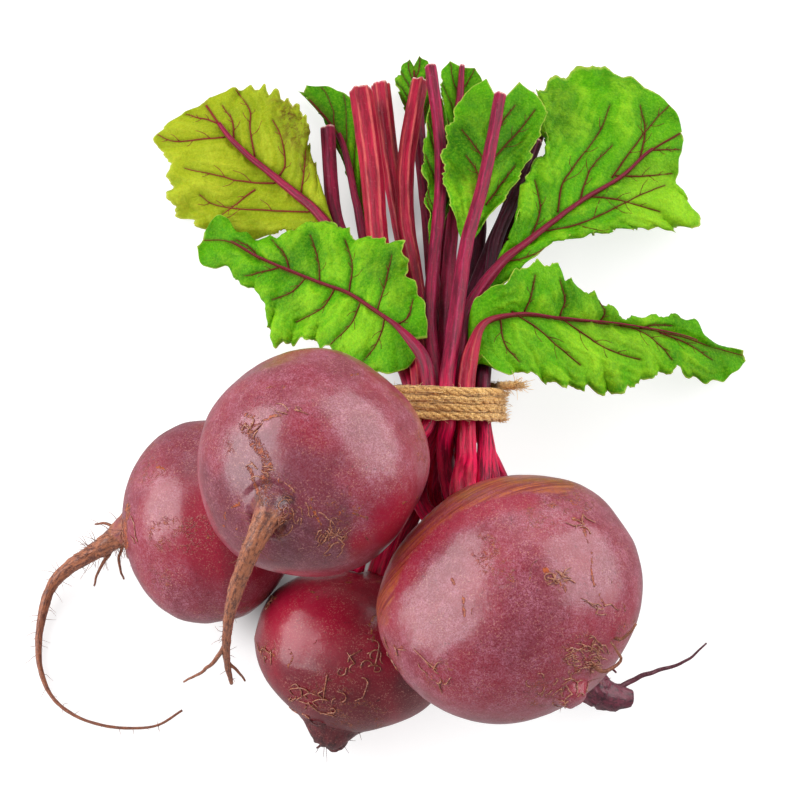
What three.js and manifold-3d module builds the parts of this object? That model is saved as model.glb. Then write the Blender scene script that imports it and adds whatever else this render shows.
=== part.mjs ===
// A bunch of five fresh beetroots with their leaf stalks and leaves, tied with natural twine and lying down.
// Millimetres, +Z up. The roots lie towards -Y, the stalks run towards +Y, and the surface is z = 0.
import * as THREE from "three";
import Module from "manifold-3d";

const wasm = await Module();
wasm.setup();

// Driving dimensions
const ORIGIN_SHIFT = [1.52, -13.06, 0]; // puts the origin under the middle of the bunch
const GAP = 0.3; // clear space between neighbouring pieces
const BEET_SIDES = 18;
const ROOTLET_SIDES = 5;
const STALK_SIDES = 8;
const RIBBED_SIDES = 12;
const STALK_STEP = 13; // length of one straight facet of a stalk
const RIB_SHARE = 0.06; // height of a rib, as a share of the stalk's radius
const GROOVE_SHARE = 0.12; // depth of the groove along a stalk's upper side
const BLADE_THICKNESS = 0.9;
const TWINE_RADIUS = 1.3;
const TWINE_PITCH = 2.85;
const TWINE_TURNS = 4;
const TWINE_SIDES = 6;
const TWINE_STEPS = 22; // facets of the twine to a turn
const TWINE_START = -1.5; // where round the bundle its first end leaves it, in radians
const TWINE_EXTRA = 1.55; // what it is wound beyond whole turns, in radians
const TWINE_ENDS = [
  [0.2, 3.2],
  [0.32, 6.5],
]; // how far round and out each loose end goes on, in radians and millimetres
const FRAYED = 1.5; // swelling of a cut end of the twine
const TIE_RADIUS = 17.8; // from the middle of the bundle to the middle of the twine
const TIE_CENTRE = new THREE.Vector3(15.5, -3.5, 50);
const TIE_LEAN = THREE.MathUtils.degToRad(15);

// The tie lies in the plane of these two directions, and the stalks run along the third.
const TIE_ACROSS = new THREE.Vector3(1, 0, 0);
const TIE_OUT = new THREE.Vector3(0, -Math.sin(TIE_LEAN), Math.cos(TIE_LEAN));
const TIE_ALONG = new THREE.Vector3(0, Math.cos(TIE_LEAN), Math.sin(TIE_LEAN));

const UP = new THREE.Vector3(0, 0, 1);
const TURN = Math.PI * 2;

const vec = (p) => new THREE.Vector3(...p);

// Seeded draws, so that every build gives the same bunch.
function draws(seed) {
  let state = seed;
  return () => {
    state = (state * 16807) % 2147483647;
    return state / 2147483647;
  };
}

function smooth(points) {
  return new THREE.CatmullRomCurve3(points.map(vec), false, "centripetal");
}

function mix(values, u) {
  const place = u * (values.length - 1);
  const k = Math.min(values.length - 2, Math.floor(place));
  return THREE.MathUtils.lerp(values[k], values[k + 1], place - k);
}

function middle(ring) {
  const sum = new THREE.Vector3();
  ring.forEach((p) => sum.add(p));
  return sum.divideScalar(ring.length);
}

function solid(points, faces) {
  const vertProperties = new Float32Array(points.length * 3);
  points.forEach((p, i) => p.toArray(vertProperties, i * 3));
  const mesh = new wasm.Mesh({ numProp: 3, vertProperties, triVerts: new Uint32Array(faces) });
  return new wasm.Manifold(mesh);
}

// A closed skin over rings with equal numbers of points.
function skin(rings) {
  const n = rings[0].length;
  const points = rings.flat();
  const faces = [];
  for (let k = 0; k + 1 < rings.length; k++) {
    for (let i = 0; i < n; i++) {
      const a = k * n + i;
      const b = k * n + ((i + 1) % n);
      faces.push(a, b, b + n, a, b + n, a + n);
    }
  }
  const last = (rings.length - 1) * n;
  const start = points.push(middle(rings[0])) - 1;
  const end = points.push(middle(rings[rings.length - 1])) - 1;
  for (let i = 0; i < n; i++) {
    const next = (i + 1) % n;
    faces.push(start, next, i, end, last + i, last + next);
  }
  return solid(points, faces);
}

// Directions across a line of centres, carried along it without twist.
function carriedFrames(centres, first) {
  const frames = [];
  let across = first.clone();
  centres.forEach((centre, k) => {
    const before = centres[Math.max(0, k - 1)];
    const after = centres[Math.min(centres.length - 1, k + 1)];
    const along = after.clone().sub(before).normalize();
    across = across.clone().addScaledVector(along, -across.dot(along)).normalize();
    frames.push({ centre, across, over: along.clone().cross(across) });
  });
  return frames;
}

function tube(centres, first, sides, radiusAt) {
  const frames = carriedFrames(centres, first);
  const rings = frames.map(({ centre, across, over }, k) => {
    const ring = [];
    for (let i = 0; i < sides; i++) {
      const turn = (TURN * i) / sides;
      const radius = radiusAt(k / (frames.length - 1), turn, i);
      ring.push(
        centre
          .clone()
          .addScaledVector(across, radius * Math.cos(turn))
          .addScaledVector(over, radius * Math.sin(turn)),
      );
    }
    return ring;
  });
  return skin(rings);
}

function rootlet([points, thick, thin]) {
  const centres = smooth(points).getSpacedPoints(points.length * 2);
  return tube(centres, UP, ROOTLET_SIDES, (u) => THREE.MathUtils.lerp(thick, thin, u));
}

// Radius of a swollen root along its axis, from the crown to the start of the taproot, as shares of its own
// half length and radius.
const BEET_PROFILE = [
  [-1.0, 0.1],
  [-0.985, 0.24],
  [-0.93, 0.36],
  [-0.83, 0.55],
  [-0.67, 0.74],
  [-0.43, 0.91],
  [-0.15, 0.99],
  [0.12, 0.995],
];
const TAPERED_END = [
  [0.38, 0.93],
  [0.6, 0.8],
  [0.79, 0.61],
  [0.93, 0.42],
  [1.04, 0.27],
];
const ROUND_END = [
  [0.38, 0.94],
  [0.61, 0.82],
  [0.79, 0.65],
  [0.91, 0.46],
  [0.98, 0.27],
  [1.02, 0.15],
];
const LUMP = 0.018; // unevenness of a root, as a share of its radius

function beet(spec, grow = 0) {
  const { centre, axis, half, radius, squash, end, shoulder, root, rootRadii, rootlets, seed } = spec;
  const random = draws(seed);
  const phases = [random() * TURN, random() * TURN, random() * TURN];
  const direction = vec(axis).normalize();
  const heart = vec(centre);
  const onAxis = (share) => heart.clone().addScaledVector(direction, share * (half + grow));
  const profile = [...BEET_PROFILE, ...end];
  const body = profile.map(([share]) => onAxis(share));
  const [lastShare] = end[end.length - 1];
  const rootLine = new THREE.CatmullRomCurve3(
    [onAxis(lastShare), onAxis(lastShare + 0.05), ...root.map(vec)],
    false,
    "centripetal",
  ).getSpacedPoints(root.length + 3);
  const centres = body.concat(rootLine.slice(1));
  const frames = carriedFrames(centres, Math.abs(direction.x) < 0.8 ? TIE_ACROSS : UP);
  const rings = frames.map(({ across, over }, k) => {
    const inBody = k < profile.length;
    const u = inBody ? 0 : (k - profile.length + 1) / (rootLine.length - 1);
    const narrowing = inBody ? 1 - shoulder * THREE.MathUtils.smoothstep(-profile[k][0], 0.1, 0.8) : 1;
    const share = inBody ? profile[k][1] * narrowing : 0;
    const flat = inBody ? squash : 1;
    const ring = [];
    for (let i = 0; i < BEET_SIDES; i++) {
      const turn = (TURN * i) / BEET_SIDES;
      const waves =
        Math.sin(2 * turn + phases[0]) +
        Math.sin(3 * turn + phases[1] + 0.3 * k) +
        Math.sin(5 * turn + phases[2]);
      const lump = 1 + LUMP * waves;
      const size = (inBody ? share * radius : mix(rootRadii, u)) * lump + grow;
      const offset = new THREE.Vector3()
        .addScaledVector(across, size * Math.cos(turn))
        .addScaledVector(over, size * Math.sin(turn));
      offset.z *= flat;
      ring.push(centres[k].clone().add(offset));
    }
    return ring;
  });
  let made = skin(rings);
  for (const one of rootlets) {
    made = made.add(rootlet([one[0], one[1] + grow, one[2] + grow]));
  }
  return made;
}

// What would reach under the surface is cut flat at it.
function standing(made) {
  const far = 300;
  const depth = 20;
  const corners = [
    [-far, -far],
    [far, -far],
    [far, far],
    [-far, far],
  ];
  const ground = skin([-depth, 0].map((z) => corners.map(([x, y]) => new THREE.Vector3(x, y, z))));
  return made.subtract(ground);
}

const BEETS = {
  beet_left: {
    centre: [-62.1, -40.3, 31.8],
    axis: [-0.99, -0.09, -0.1],
    half: 30,
    radius: 33.4,
    squash: 0.96,
    end: ROUND_END,
    shoulder: 0.1,
    root: [
      [-99, -46, 24],
      [-109, -50, 15],
      [-118, -55, 7.5],
      [-123, -68, 3],
      [-123, -84, 2],
      [-118, -95, 2],
      [-108, -102, 2],
      [-94, -105, 2],
      [-82, -104, 2],
      [-74, -99, 2],
    ],
    rootRadii: [3.9, 3.0, 2.5, 2.0, 1.4, 1.0, 0.7, 0.55, 0.5, 0.45, 0.4],
    rootlets: [
      [[[-94, -42, 24], [-99, -38, 19], [-104, -37, 15]], 0.8, 0.45],
      [[[-97, -47, 22], [-102, -53, 16], [-104, -58, 12]], 0.8, 0.45],
      [[[-93, -45, 26], [-95, -51, 19], [-94, -56, 13]], 0.7, 0.45],
    ],
    seed: 11,
  },
  beet_front: {
    centre: [-16.5, -82, 27],
    axis: [-0.24, -0.9, -0.3],
    half: 26,
    radius: 32.4,
    squash: 0.85,
    end: TAPERED_END,
    shoulder: -0.03,
    root: [
      [-23, -106, 13],
      [-22.5, -108.5, 10],
      [-21, -111, 7],
    ],
    rootRadii: [7.5, 5.6, 4.8, 4.6, 3.8],
    rootlets: [
      [[[-27, -98, 24], [-31, -104, 28], [-27, -108, 31], [-21, -106, 33]], 0.8, 0.5],
      [[[-14, -103, 30], [-10, -107, 34], [-5, -104, 37], [-3, -98, 40]], 0.8, 0.5],
      [[[-8, -98, 38], [-11, -101, 42], [-8, -102, 46], [-4, -99, 47]], 0.75, 0.5],
      [[[-22, -108, 9], [-26, -111, 7], [-28, -112, 4]], 0.9, 0.5],
    ],
    seed: 23,
  },
  beet_rear: {
    centre: [37, -60, 23.8],
    axis: [0.63, -0.73, -0.18],
    half: 32,
    radius: 25.5,
    squash: 0.93,
    end: TAPERED_END,
    shoulder: 0,
    root: [
      [63, -91, 13],
      [70, -95, 9],
      [78, -95.5, 6.5],
    ],
    rootRadii: [8, 6.5, 5.8, 5.2, 3.2],
    rootlets: [
      [[[73, -93, 10], [80, -89, 9], [89, -86, 8], [97, -83, 8], [104, -77, 9]], 1.1, 0.5],
      [[[66, -88, 13], [70, -86, 15], [73, -88, 13]], 0.8, 0.5],
    ],
    seed: 37,
  },
  beet_right: {
    centre: [34.5, -75.5, 84.5],
    axis: [0.47, -0.84, 0.27],
    half: 36,
    radius: 41.2,
    squash: 0.84,
    end: ROUND_END,
    shoulder: -0.04,
    root: [
      [52.9, -108.3, 95],
      [53.4, -109.2, 95.3],
    ],
    rootRadii: [5.5, 4.2, 3],
    rootlets: [
      [[[55, -95, 98], [61, -101, 102], [66, -98, 105], [63, -93, 109]], 0.8, 0.5],
      [[[60, -88, 98], [67, -91, 102], [71, -87, 104]], 0.8, 0.5],
    ],
    seed: 41,
  },
  beet_top: {
    centre: [-27.4, -34.5, 93],
    axis: [-0.33, -0.61, 0.72],
    half: 34.5,
    radius: 35.5,
    squash: 1,
    end: ROUND_END,
    shoulder: 0,
    root: [
      [-41.5, -61.5, 120],
      [-45.5, -69, 114.5],
      [-49.8, -77, 103],
      [-53, -85, 88],
      [-54.3, -92, 73],
      [-53.6, -98, 58],
    ],
    rootRadii: [4.0, 3.2, 2.7, 2.3, 1.7, 1.35, 1.15, 0.65],
    rootlets: [
      [[[-53, -88, 82], [-58, -93, 72], [-64, -96, 62], [-69, -97, 54]], 0.9, 0.5],
      [[[-54, -93, 69], [-51, -96, 66], [-49, -98, 63]], 0.7, 0.45],
    ],
    seed: 53,
  },
};

// Place of a stalk in the tie, across and out from the middle of the bundle.
function slot(across, out) {
  return TIE_CENTRE.clone()
    .addScaledVector(TIE_ACROSS, across)
    .addScaledVector(TIE_OUT, out)
    .toArray();
}

function besideSlot(across, out, step) {
  const place = slot(across, out);
  place[1] += step;
  return place;
}

const LEAD = 7; // straight run of each stalk before and after the middle of the tie

function stalkPath({ before, across, out, after }) {
  return smooth([...before, besideSlot(across, out, -LEAD), besideSlot(across, out, LEAD), ...after]);
}

// A leaf stalk: ribbed when thick, with the shallow groove of its upper side.
function stalk(spec, grow = 0) {
  const sides = spec.ribbed ? RIBBED_SIDES : STALK_SIDES;
  const path = stalkPath(spec);
  const reach = spec.reach ?? 1;
  const steps = Math.ceil((path.getLength() * reach) / STALK_STEP);
  const centres = [];
  for (let k = 0; k <= steps; k++) {
    centres.push(path.getPointAt((k / steps) * reach));
  }
  return tube(centres, UP, sides, (u, turn, i) => {
    const rib = spec.ribbed ? RIB_SHARE * (i % 2 ? 1 : -1) : 0;
    const groove = i === 0 ? GROOVE_SHARE : 0;
    return mix(spec.radii, u) * (1 + rib - groove) + grow;
  });
}

const STALKS = {
  // upper row of the bundle
  stalk_middle: {
    before: [[20, -39, 40], [16, -29, 47], [14.5, -18, 58]],
    across: -0.2,
    out: 11,
    after: [[17, 14, 57], [20, 36, 51], [23, 55, 46], [27, 70, 43], [30, 83, 41], [35, 111, 37]],
    radii: [3.6, 2.8, 2.6, 2.5, 2.3, 2.2, 2.1],
  },
  stalk_right_low: {
    before: [[22, -54, 74], [20, -38, 71], [21.5, -26, 61.5]],
    across: 6.2,
    out: 10.0,
    after: [
      [24, 13, 58], [28, 22, 56.5], [40, 27, 51], [54, 28, 43], [76, 30, 29], [98, 30, 16],
      [108, 28, 11], [121, 26, 5],
    ],
    radii: [4.2, 3.9, 2.9, 2.9, 1.7, 1.1, 0.9, 0.75, 0.6],
    ribbed: true,
    reach: 0.9,
  },
  stalk_left_low: {
    before: [[-18, -27, 76], [-10, -20, 67], [-4, -21, 62], [3, -20, 60.5]],
    across: -6.3,
    out: 10.8,
    after: [
      [8, 8, 61], [-1, 21, 56], [-9, 29, 50], [-18, 38, 40], [-28, 44, 33], [-49, 57, 20],
      [-61, 66, 12], [-70, 68, 7],
    ],
    radii: [3.2, 2.7, 2.4, 2.1, 1.4, 1.1, 0.95, 0.8, 0.6],
    reach: 0.93,
  },
  // second row
  stalk_cut_thick_left: {
    before: [[-15, -57, 37], [-11, -44, 45], [2, -24, 52.5]],
    across: -9.6,
    out: 5.2,
    after: [[2.5, 23, 44.5], [-4, 43, 36], [-7.5, 59, 31], [-10, 88, 26], [-14, 120, 18]],
    radii: [3, 2.7, 2.25, 2.45, 3.4, 3.9, 3.9],
    ribbed: true,
  },
  stalk_crimson_left: {
    before: [[14, -44.5, 35], [6.5, -33, 39], [9, -20, 49]],
    across: -3.3,
    out: 5.2,
    after: [[10, 23, 49], [11.5, 48, 41], [14, 75, 33], [14, 99, 26], [11, 129, 19]],
    radii: [3.2, 2.5, 2.3, 2.2, 2.1, 2.1, 2.1],
  },
  stalk_right_high: {
    before: [[22, -52, 66], [21, -38, 61], [21, -22, 53.5]],
    across: 2.9,
    out: 4.8,
    after: [
      [20, 16, 51], [22, 28, 47], [34, 47, 43], [44, 57, 38], [63, 75, 28], [78, 87, 20],
      [89, 99, 14], [101, 108, 9],
    ],
    radii: [3, 2.6, 2.35, 2.3, 2.1, 1.6, 1.3, 1.0, 0.7],
    reach: 0.93,
  },
  stalk_dark_right: {
    before: [[28, -54, 71], [26.8, -38, 66], [27.5, -22, 58.5]],
    across: 12.0,
    out: 4.8,
    after: [[28.5, 12, 50], [30, 34, 38], [33, 58, 33], [41, 79, 28], [48, 99, 23]],
    radii: [2.8, 2.4, 2.3, 2.2, 2.2, 2.2],
  },
  // third row
  stalk_left_high: {
    before: [[-25, -22, 74], [-17, -15, 62], [-11, -20, 53], [-2, -19, 47.5]],
    across: -12.7,
    out: -0.3,
    after: [
      [-2.5, 18, 40.5], [-11, 40, 29.5], [-20, 60, 21], [-29, 75, 15], [-43, 89, 10],
      [-60, 105, 8], [-71, 121, 6],
    ],
    radii: [3, 2.4, 2.2, 2.3, 2.2, 2.0, 1.7, 1.2, 0.8],
    reach: 0.95,
  },
  stalk_cut_ribbed: {
    before: [[-38, -44, 41.5], [-26, -40, 41], [-8, -28, 40], [3, -17, 43]],
    across: -6.5,
    out: -0.3,
    after: [[8, 24, 37], [4.5, 51, 28.5], [2, 68, 25.5], [2, 90, 21], [7, 126, 12.5]],
    radii: [3, 2.5, 2.4, 2.5, 2.9, 3.0, 3.0],
    ribbed: true,
  },
  stalk_crimson_middle: {
    before: [[18.3, -42.8, 29.3], [11.5, -32, 34], [13.5, -18, 44.5]],
    across: -0.2,
    out: -0.3,
    after: [[15.5, 29, 40], [17, 52, 31], [19, 75, 25], [20, 96, 19], [21.5, 120, 13], [22.5, 133, 10]],
    radii: [3, 2.5, 2.5, 2.4, 2.1, 1.9, 1.0],
  },
  stalk_dark_inner: {
    before: [[23.2, -37.4, 33.8], [18, -27, 39], [21, -17, 45.5]],
    across: 6.1,
    out: -0.3,
    after: [[22.5, 23, 40], [25, 40, 30], [32, 60, 22], [41, 84, 17], [46, 121, 13]],
    radii: [3, 2.6, 2.6, 2.5, 2.5, 2.5],
  },
  stalk_dark_outer: {
    before: [[32, -52, 66], [31, -38, 61], [29, -20, 53]],
    across: 12.4,
    out: -1.4,
    after: [[30, 26, 34], [33, 42, 25], [39, 71, 14], [46, 96, 10], [52, 113, 8]],
    radii: [2.8, 2.3, 2.3, 2.3, 2.3, 2.2],
  },
  // fourth row
  stalk_magenta_left: {
    before: [[-39, -38, 35.5], [-26, -36, 34], [-8, -21, 34], [1, -12, 40]],
    across: -9.6,
    out: -6,
    after: [[-2, 27, 32], [-18, 62, 14], [-23, 76, 10], [-26, 110, 8]],
    radii: [3, 2.5, 2.4, 2.5, 2.6, 2.6],
  },
  stalk_cut_stub: {
    before: [[-8, -58, 31], [-3, -44, 35], [5, -24, 36], [9, -14, 40]],
    across: -2.8,
    out: -5.9,
    after: [[12, 14, 37.5], [9.5, 24, 31], [5, 38, 24], [0, 71, 14], [-4, 100, 9], [-7, 127, 7]],
    radii: [3, 2.6, 2.4, 2.4, 2.6, 3.1, 3.2],
    ribbed: true,
  },
  stalk_cut_back: {
    before: [[22.5, -39.6, 27.4], [16, -29, 31], [17.5, -16, 39.5]],
    across: 3.2,
    out: -5.9,
    after: [[16.5, 16, 40], [12.5, 36, 28], [10, 71, 16], [7, 105, 9], [5, 135, 6]],
    radii: [3, 2.4, 2.4, 2.4, 2.3, 2.2],
    reach: 0.94,
  },
  stalk_dark_low: {
    before: [[37, -50, 58], [35, -35, 52], [29, -18, 44.5]],
    across: 9.4,
    out: -6.2,
    after: [[23, 32, 27], [28, 65, 12], [29, 90, 7], [31, 114, 5]],
    radii: [2.6, 2.2, 2.2, 2.2, 2.2],
  },
  // lowest row
  stalk_red_left: {
    before: [[-38, -34, 29], [-26, -31, 27.5], [-6, -17, 28], [5, -11, 34]],
    across: -5.9,
    out: -11.0,
    after: [[6.5, 14, 34.5], [-1, 33, 20], [-11, 60, 9], [-16, 84, 6], [-22, 108, 6], [-35, 125, 5]],
    radii: [2.8, 2.2, 1.9, 2.0, 2.0, 1.5, 1.0],
    reach: 0.9,
  },
  stalk_red_low: {
    before: [[-3, -60, 26], [2, -44, 29], [10.5, -24, 29.5]],
    across: 1.5,
    out: -11.7,
    after: [[16.5, 14, 35], [15, 33, 21], [16, 67, 6], [17, 91, 2.4], [17, 118, 1.9]],
    radii: [2.8, 2.3, 2.2, 2.2, 2.2, 2.1],
  },
};

// A leaf blade hung under the upper part of its stalk, between two edges, with a waved and toothed margin.
function blade({ stem, from, to, left, right, rows, columns, wave, tooth, bulge, seed, under }) {
  const spec = STALKS[stem];
  const path = stalkPath(spec);
  const leftEdge = smooth(left);
  const rightEdge = smooth(right);
  const random = draws(seed);
  const upper = [];
  for (let k = 0; k <= rows; k++) {
    const u = k / rows;
    const along = THREE.MathUtils.lerp(from, to, u);
    const rib = path.getPointAt(along);
    const radius = mix(spec.radii, Math.min(1, along / (spec.reach ?? 1)));
    rib.z -= radius + under;
    const row = [];
    const lift = [0, 0];
    const bite = [0, 0];
    for (const side of [0, 1]) {
      lift[side] = wave * (random() - 0.5 + 0.6 * Math.sin(k * 1.9 + side * 2 + seed));
      bite[side] = tooth * ((k % 2 ? 0.5 : -0.5) + 0.6 * (random() - 0.5));
    }
    for (let i = 0; i <= columns; i++) {
      const t = (2 * i) / columns - 1;
      const side = t < 0 ? 0 : 1;
      const share = Math.abs(t);
      const edge = (side ? rightEdge : leftEdge).getPointAt(u);
      const outward = edge.clone().sub(rib);
      const point = rib.clone().addScaledVector(outward, share);
      const ends = Math.min(1, 4 * u, 4 * (1 - u));
      point.addScaledVector(outward.setZ(0).normalize(), bite[side] * share ** 3 * ends);
      point.z += bulge * Math.sin(Math.PI * share) * ends + lift[side] * share ** 2;
      row.push(point);
    }
    upper.push(row);
  }
  return sheet(upper);
}

// Two like faces a blade's thickness apart, closed round the edge.
function sheet(upper) {
  const rows = upper.length;
  const width = upper[0].length;
  const at = (k, i) => upper[Math.min(rows - 1, Math.max(0, k))][Math.min(width - 1, Math.max(0, i))];
  const points = upper.flat();
  const lower = upper.flatMap((row, k) =>
    row.map((p, i) => {
      const down = at(k + 1, i).clone().sub(at(k - 1, i));
      const over = at(k, i + 1).clone().sub(at(k, i - 1));
      const normal = over.cross(down).normalize();
      if (normal.z < 0) {
        normal.negate();
      }
      return p.clone().addScaledVector(normal, -BLADE_THICKNESS);
    }),
  );
  const shift = points.length;
  points.push(...lower);
  const faces = [];
  const id = (k, i) => k * width + i;
  for (let k = 0; k + 1 < rows; k++) {
    for (let i = 0; i + 1 < width; i++) {
      const a = id(k, i);
      const b = id(k, i + 1);
      const c = id(k + 1, i + 1);
      const d = id(k + 1, i);
      faces.push(a, b, c, a, c, d);
      faces.push(a + shift, c + shift, b + shift, a + shift, d + shift, c + shift);
    }
  }
  const rim = [];
  for (let i = 0; i + 1 < width; i++) rim.push([id(0, i), id(0, i + 1)]);
  for (let k = 0; k + 1 < rows; k++) rim.push([id(k, width - 1), id(k + 1, width - 1)]);
  for (let i = width - 1; i > 0; i--) rim.push([id(rows - 1, i), id(rows - 1, i - 1)]);
  for (let k = rows - 1; k > 0; k--) rim.push([id(k, 0), id(k - 1, 0)]);
  for (const [a, b] of rim) {
    faces.push(b, a, a + shift, b, a + shift, b + shift);
  }
  const made = solid(points, faces);
  if (made.volume() > 0) {
    return made;
  }
  const turned = [];
  for (let f = 0; f < faces.length; f += 3) {
    turned.push(faces[f], faces[f + 2], faces[f + 1]);
  }
  return solid(points, turned);
}

const BLADES = {
  leaf_left_high: {
    stem: "stalk_left_high",
    from: 0.6,
    to: 1,
    left: [
      [-30, 70, 10], [-38, 74, 8], [-55, 69, 5], [-71, 73.5, 4], [-81.5, 81, 4], [-83, 91.5, 4],
      [-84, 100, 3], [-89, 107, 3], [-82, 115, 4], [-73, 119.5, 4],
    ],
    right: [
      [-27, 80, 13], [-31, 96, 12], [-33, 104, 13], [-33, 110, 16], [-38, 117, 13], [-45, 123, 8],
      [-54, 127, 5], [-62, 126, 4], [-69, 123.5, 4],
    ],
    rows: 26,
    columns: 8,
    wave: 1.6,
    tooth: 2.2,
    bulge: 1.2,
    seed: 5,
    under: 1.0,
  },
  leaf_left_low: {
    stem: "stalk_left_low",
    from: 0.4,
    to: 1,
    left: [
      [6, 11, 57], [1, 6, 56], [-8, 6, 50.5], [-15, 11, 45], [-24, 18, 37], [-31, 24, 29],
      [-37, 25, 22], [-44, 26, 18], [-46, 35, 19], [-50, 45, 16], [-56, 49, 14], [-61, 56, 11],
      [-70, 58, 8], [-72, 65, 7],
    ],
    right: [
      [9, 17, 57.5], [8.5, 28, 55], [3, 41, 50], [1, 51, 47], [-6, 57, 41], [-15, 60, 34],
      [-24, 68, 28], [-33, 68, 24], [-40, 65, 20], [-49, 66, 16], [-57, 69, 13], [-64, 76, 10],
      [-69.5, 71, 8],
    ],
    rows: 30,
    columns: 8,
    wave: 2,
    tooth: 2.4,
    bulge: 2,
    seed: 8,
    under: 1.2,
  },
  leaf_right_high: {
    stem: "stalk_right_high",
    from: 0.43,
    to: 1,
    left: [
      [32, 45, 40], [38, 58, 40], [42, 71, 37], [45, 86, 31], [51, 95, 27], [50, 112, 20],
      [50, 122, 16], [58, 128, 10], [69, 134, 7], [78, 133, 6], [88, 127, 5], [96, 122, 5],
      [100, 115, 6], [101.5, 109.5, 6],
    ],
    right: [
      [36, 41, 41], [44, 49, 40], [55, 59, 34], [70, 64, 26], [84, 68, 18], [96, 70, 12],
      [106, 72, 9], [105, 79, 8], [99, 88, 8], [100, 97, 8], [102, 106, 7],
    ],
    rows: 28,
    columns: 8,
    wave: 1.8,
    tooth: 2.4,
    bulge: 1.6,
    seed: 13,
    under: 1.1,
  },
  leaf_right_low: {
    stem: "stalk_right_low",
    from: 0.33,
    to: 1,
    left: [
      [23, 17, 54], [23.5, 27, 53], [28, 34, 54.5], [34, 36, 54.5], [42, 43, 52], [54, 46, 44],
      [58, 41, 41], [68, 37, 34], [77, 33, 28], [88, 35, 20], [104, 36, 12], [108, 30, 10],
      [121, 27.5, 3.5],
    ],
    right: [
      [27, 11, 57.5], [31, 6, 57.5], [36, 5, 54], [41, 7, 50], [49, 5, 45], [61, 5, 37],
      [71, 5, 30], [85, 12, 22], [95, 17, 16], [108, 15, 8], [117, 19, 5], [122, 24.5, 3.5],
    ],
    rows: 30,
    columns: 8,
    wave: 2,
    tooth: 2.4,
    bulge: 1.6,
    seed: 21,
    under: 1.8,
  },
  leaf_middle_cut: {
    stem: "stalk_middle",
    from: 0.62,
    to: 0.985,
    left: [[22, 54, 42], [18, 68, 39], [15, 82, 36], [17, 101, 31], [22, 114, 28], [30.5, 120.5, 29]],
    right: [[26, 58, 42], [34, 70, 40], [42, 83, 36], [49, 99, 31], [51, 111, 29], [42, 118.5, 30]],
    rows: 14,
    columns: 6,
    wave: 1.4,
    tooth: 1.6,
    bulge: -1.5,
    seed: 34,
    under: 1.0,
  },
  leaf_folded: {
    stem: "stalk_crimson_left",
    from: 0.58,
    to: 0.9,
    left: [[10, 57, 36], [9.5, 72, 31.5], [8.5, 90, 27], [9.5, 104, 23.5], [10.5, 114, 21.5]],
    right: [[14, 60, 33], [18, 76, 29.5], [18.5, 92, 26], [17, 106, 23], [15, 116, 21]],
    rows: 10,
    columns: 4,
    wave: 1.2,
    tooth: 1.6,
    bulge: 0,
    seed: 55,
    under: 1.1,
  },
  leaf_top_cut: {
    stem: "stalk_crimson_middle",
    from: 0.7,
    to: 1,
    left: [[17, 92, 17], [15.5, 106, 14], [15, 120, 12], [15, 130, 10.5], [18, 135, 9.5]],
    right: [[22.5, 96, 17], [28, 106, 15.5], [31, 117, 13], [30, 126, 11], [27, 132, 10]],
    rows: 10,
    columns: 4,
    wave: 1.2,
    tooth: 1.6,
    bulge: 0,
    seed: 63,
    under: 0.7,
  },
  leaf_back_cut: {
    stem: "stalk_cut_back",
    from: 0.84,
    to: 1,
    left: [[3, 114, 5], [0, 124, 4.5], [-1, 132, 4], [3.5, 138.5, 4]],
    right: [[10, 116, 5], [12, 126, 4.5], [12.5, 134, 4], [7, 139.5, 4]],
    rows: 8,
    columns: 4,
    wave: 1,
    tooth: 1.6,
    bulge: 0,
    seed: 77,
    under: 0.7,
  },
  leaf_left_tip: {
    stem: "stalk_red_left",
    from: 0.62,
    to: 1,
    left: [[-14, 68, 4], [-17, 84, 3], [-19.5, 97, 3], [-24.5, 108, 3], [-29, 118, 3], [-37, 126, 4]],
    right: [[-9, 68, 5], [-11, 84, 4], [-14, 102, 4], [-17, 120, 4], [-22, 126.5, 4], [-34, 128, 4]],
    rows: 12,
    columns: 4,
    wave: 1,
    tooth: 1.8,
    bulge: 0,
    seed: 89,
    under: 0.7,
  },
};

// Twine wound round the bundle, with its two cut ends frayed at one side.
function twine() {
  const half = (TWINE_TURNS * TWINE_PITCH) / 2;
  const sweep = TURN * TWINE_TURNS + TWINE_EXTRA;
  const steps = TWINE_STEPS * TWINE_TURNS;
  const place = (turn, out, shift) =>
    TIE_CENTRE.clone()
      .addScaledVector(TIE_ACROSS, (TIE_RADIUS + out) * Math.cos(turn))
      .addScaledVector(TIE_OUT, (TIE_RADIUS + out) * Math.sin(turn))
      .addScaledVector(TIE_ALONG, shift);
  const centres = [];
  for (let k = 0; k <= steps; k++) {
    const u = k / steps;
    centres.push(place(TWINE_START + u * sweep, 0, THREE.MathUtils.lerp(-half, half, u)));
  }
  for (const [turn, out] of TWINE_ENDS) {
    centres.unshift(place(TWINE_START - turn, out, -half));
    centres.push(place(TWINE_START + sweep + turn, out, half));
  }
  return tube(centres, TIE_ALONG, TWINE_SIDES, (u) => TWINE_RADIUS * (u === 0 || u === 1 ? FRAYED : 1));
}

// The greatest of the separate bodies of a solid.
function largest(made) {
  return made.decompose().reduce((best, one) => (one.volume() > best.volume() ? one : best));
}

const SKIN_COLOUR = {
  beet_top: 0x94516a,
  beet_left: 0x8a4258,
  beet_front: 0x7d1226,
  beet_rear: 0x5a1226,
  beet_right: 0x96546a,
};
const STALK_COLOUR = 0xb01a4c;
const DARK_STALK_COLOUR = 0x5e1230;
const CUT_STALK_COLOUR = 0xc4464e;
const LEAF_COLOUR = 0x5c9a1e;
const LEAF_BACK_COLOUR = 0x9fb83a;
const TWINE_COLOUR = 0xc99a5e;

function material(color, roughness) {
  return new THREE.MeshStandardMaterial({ color, roughness, metalness: 0 });
}

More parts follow.
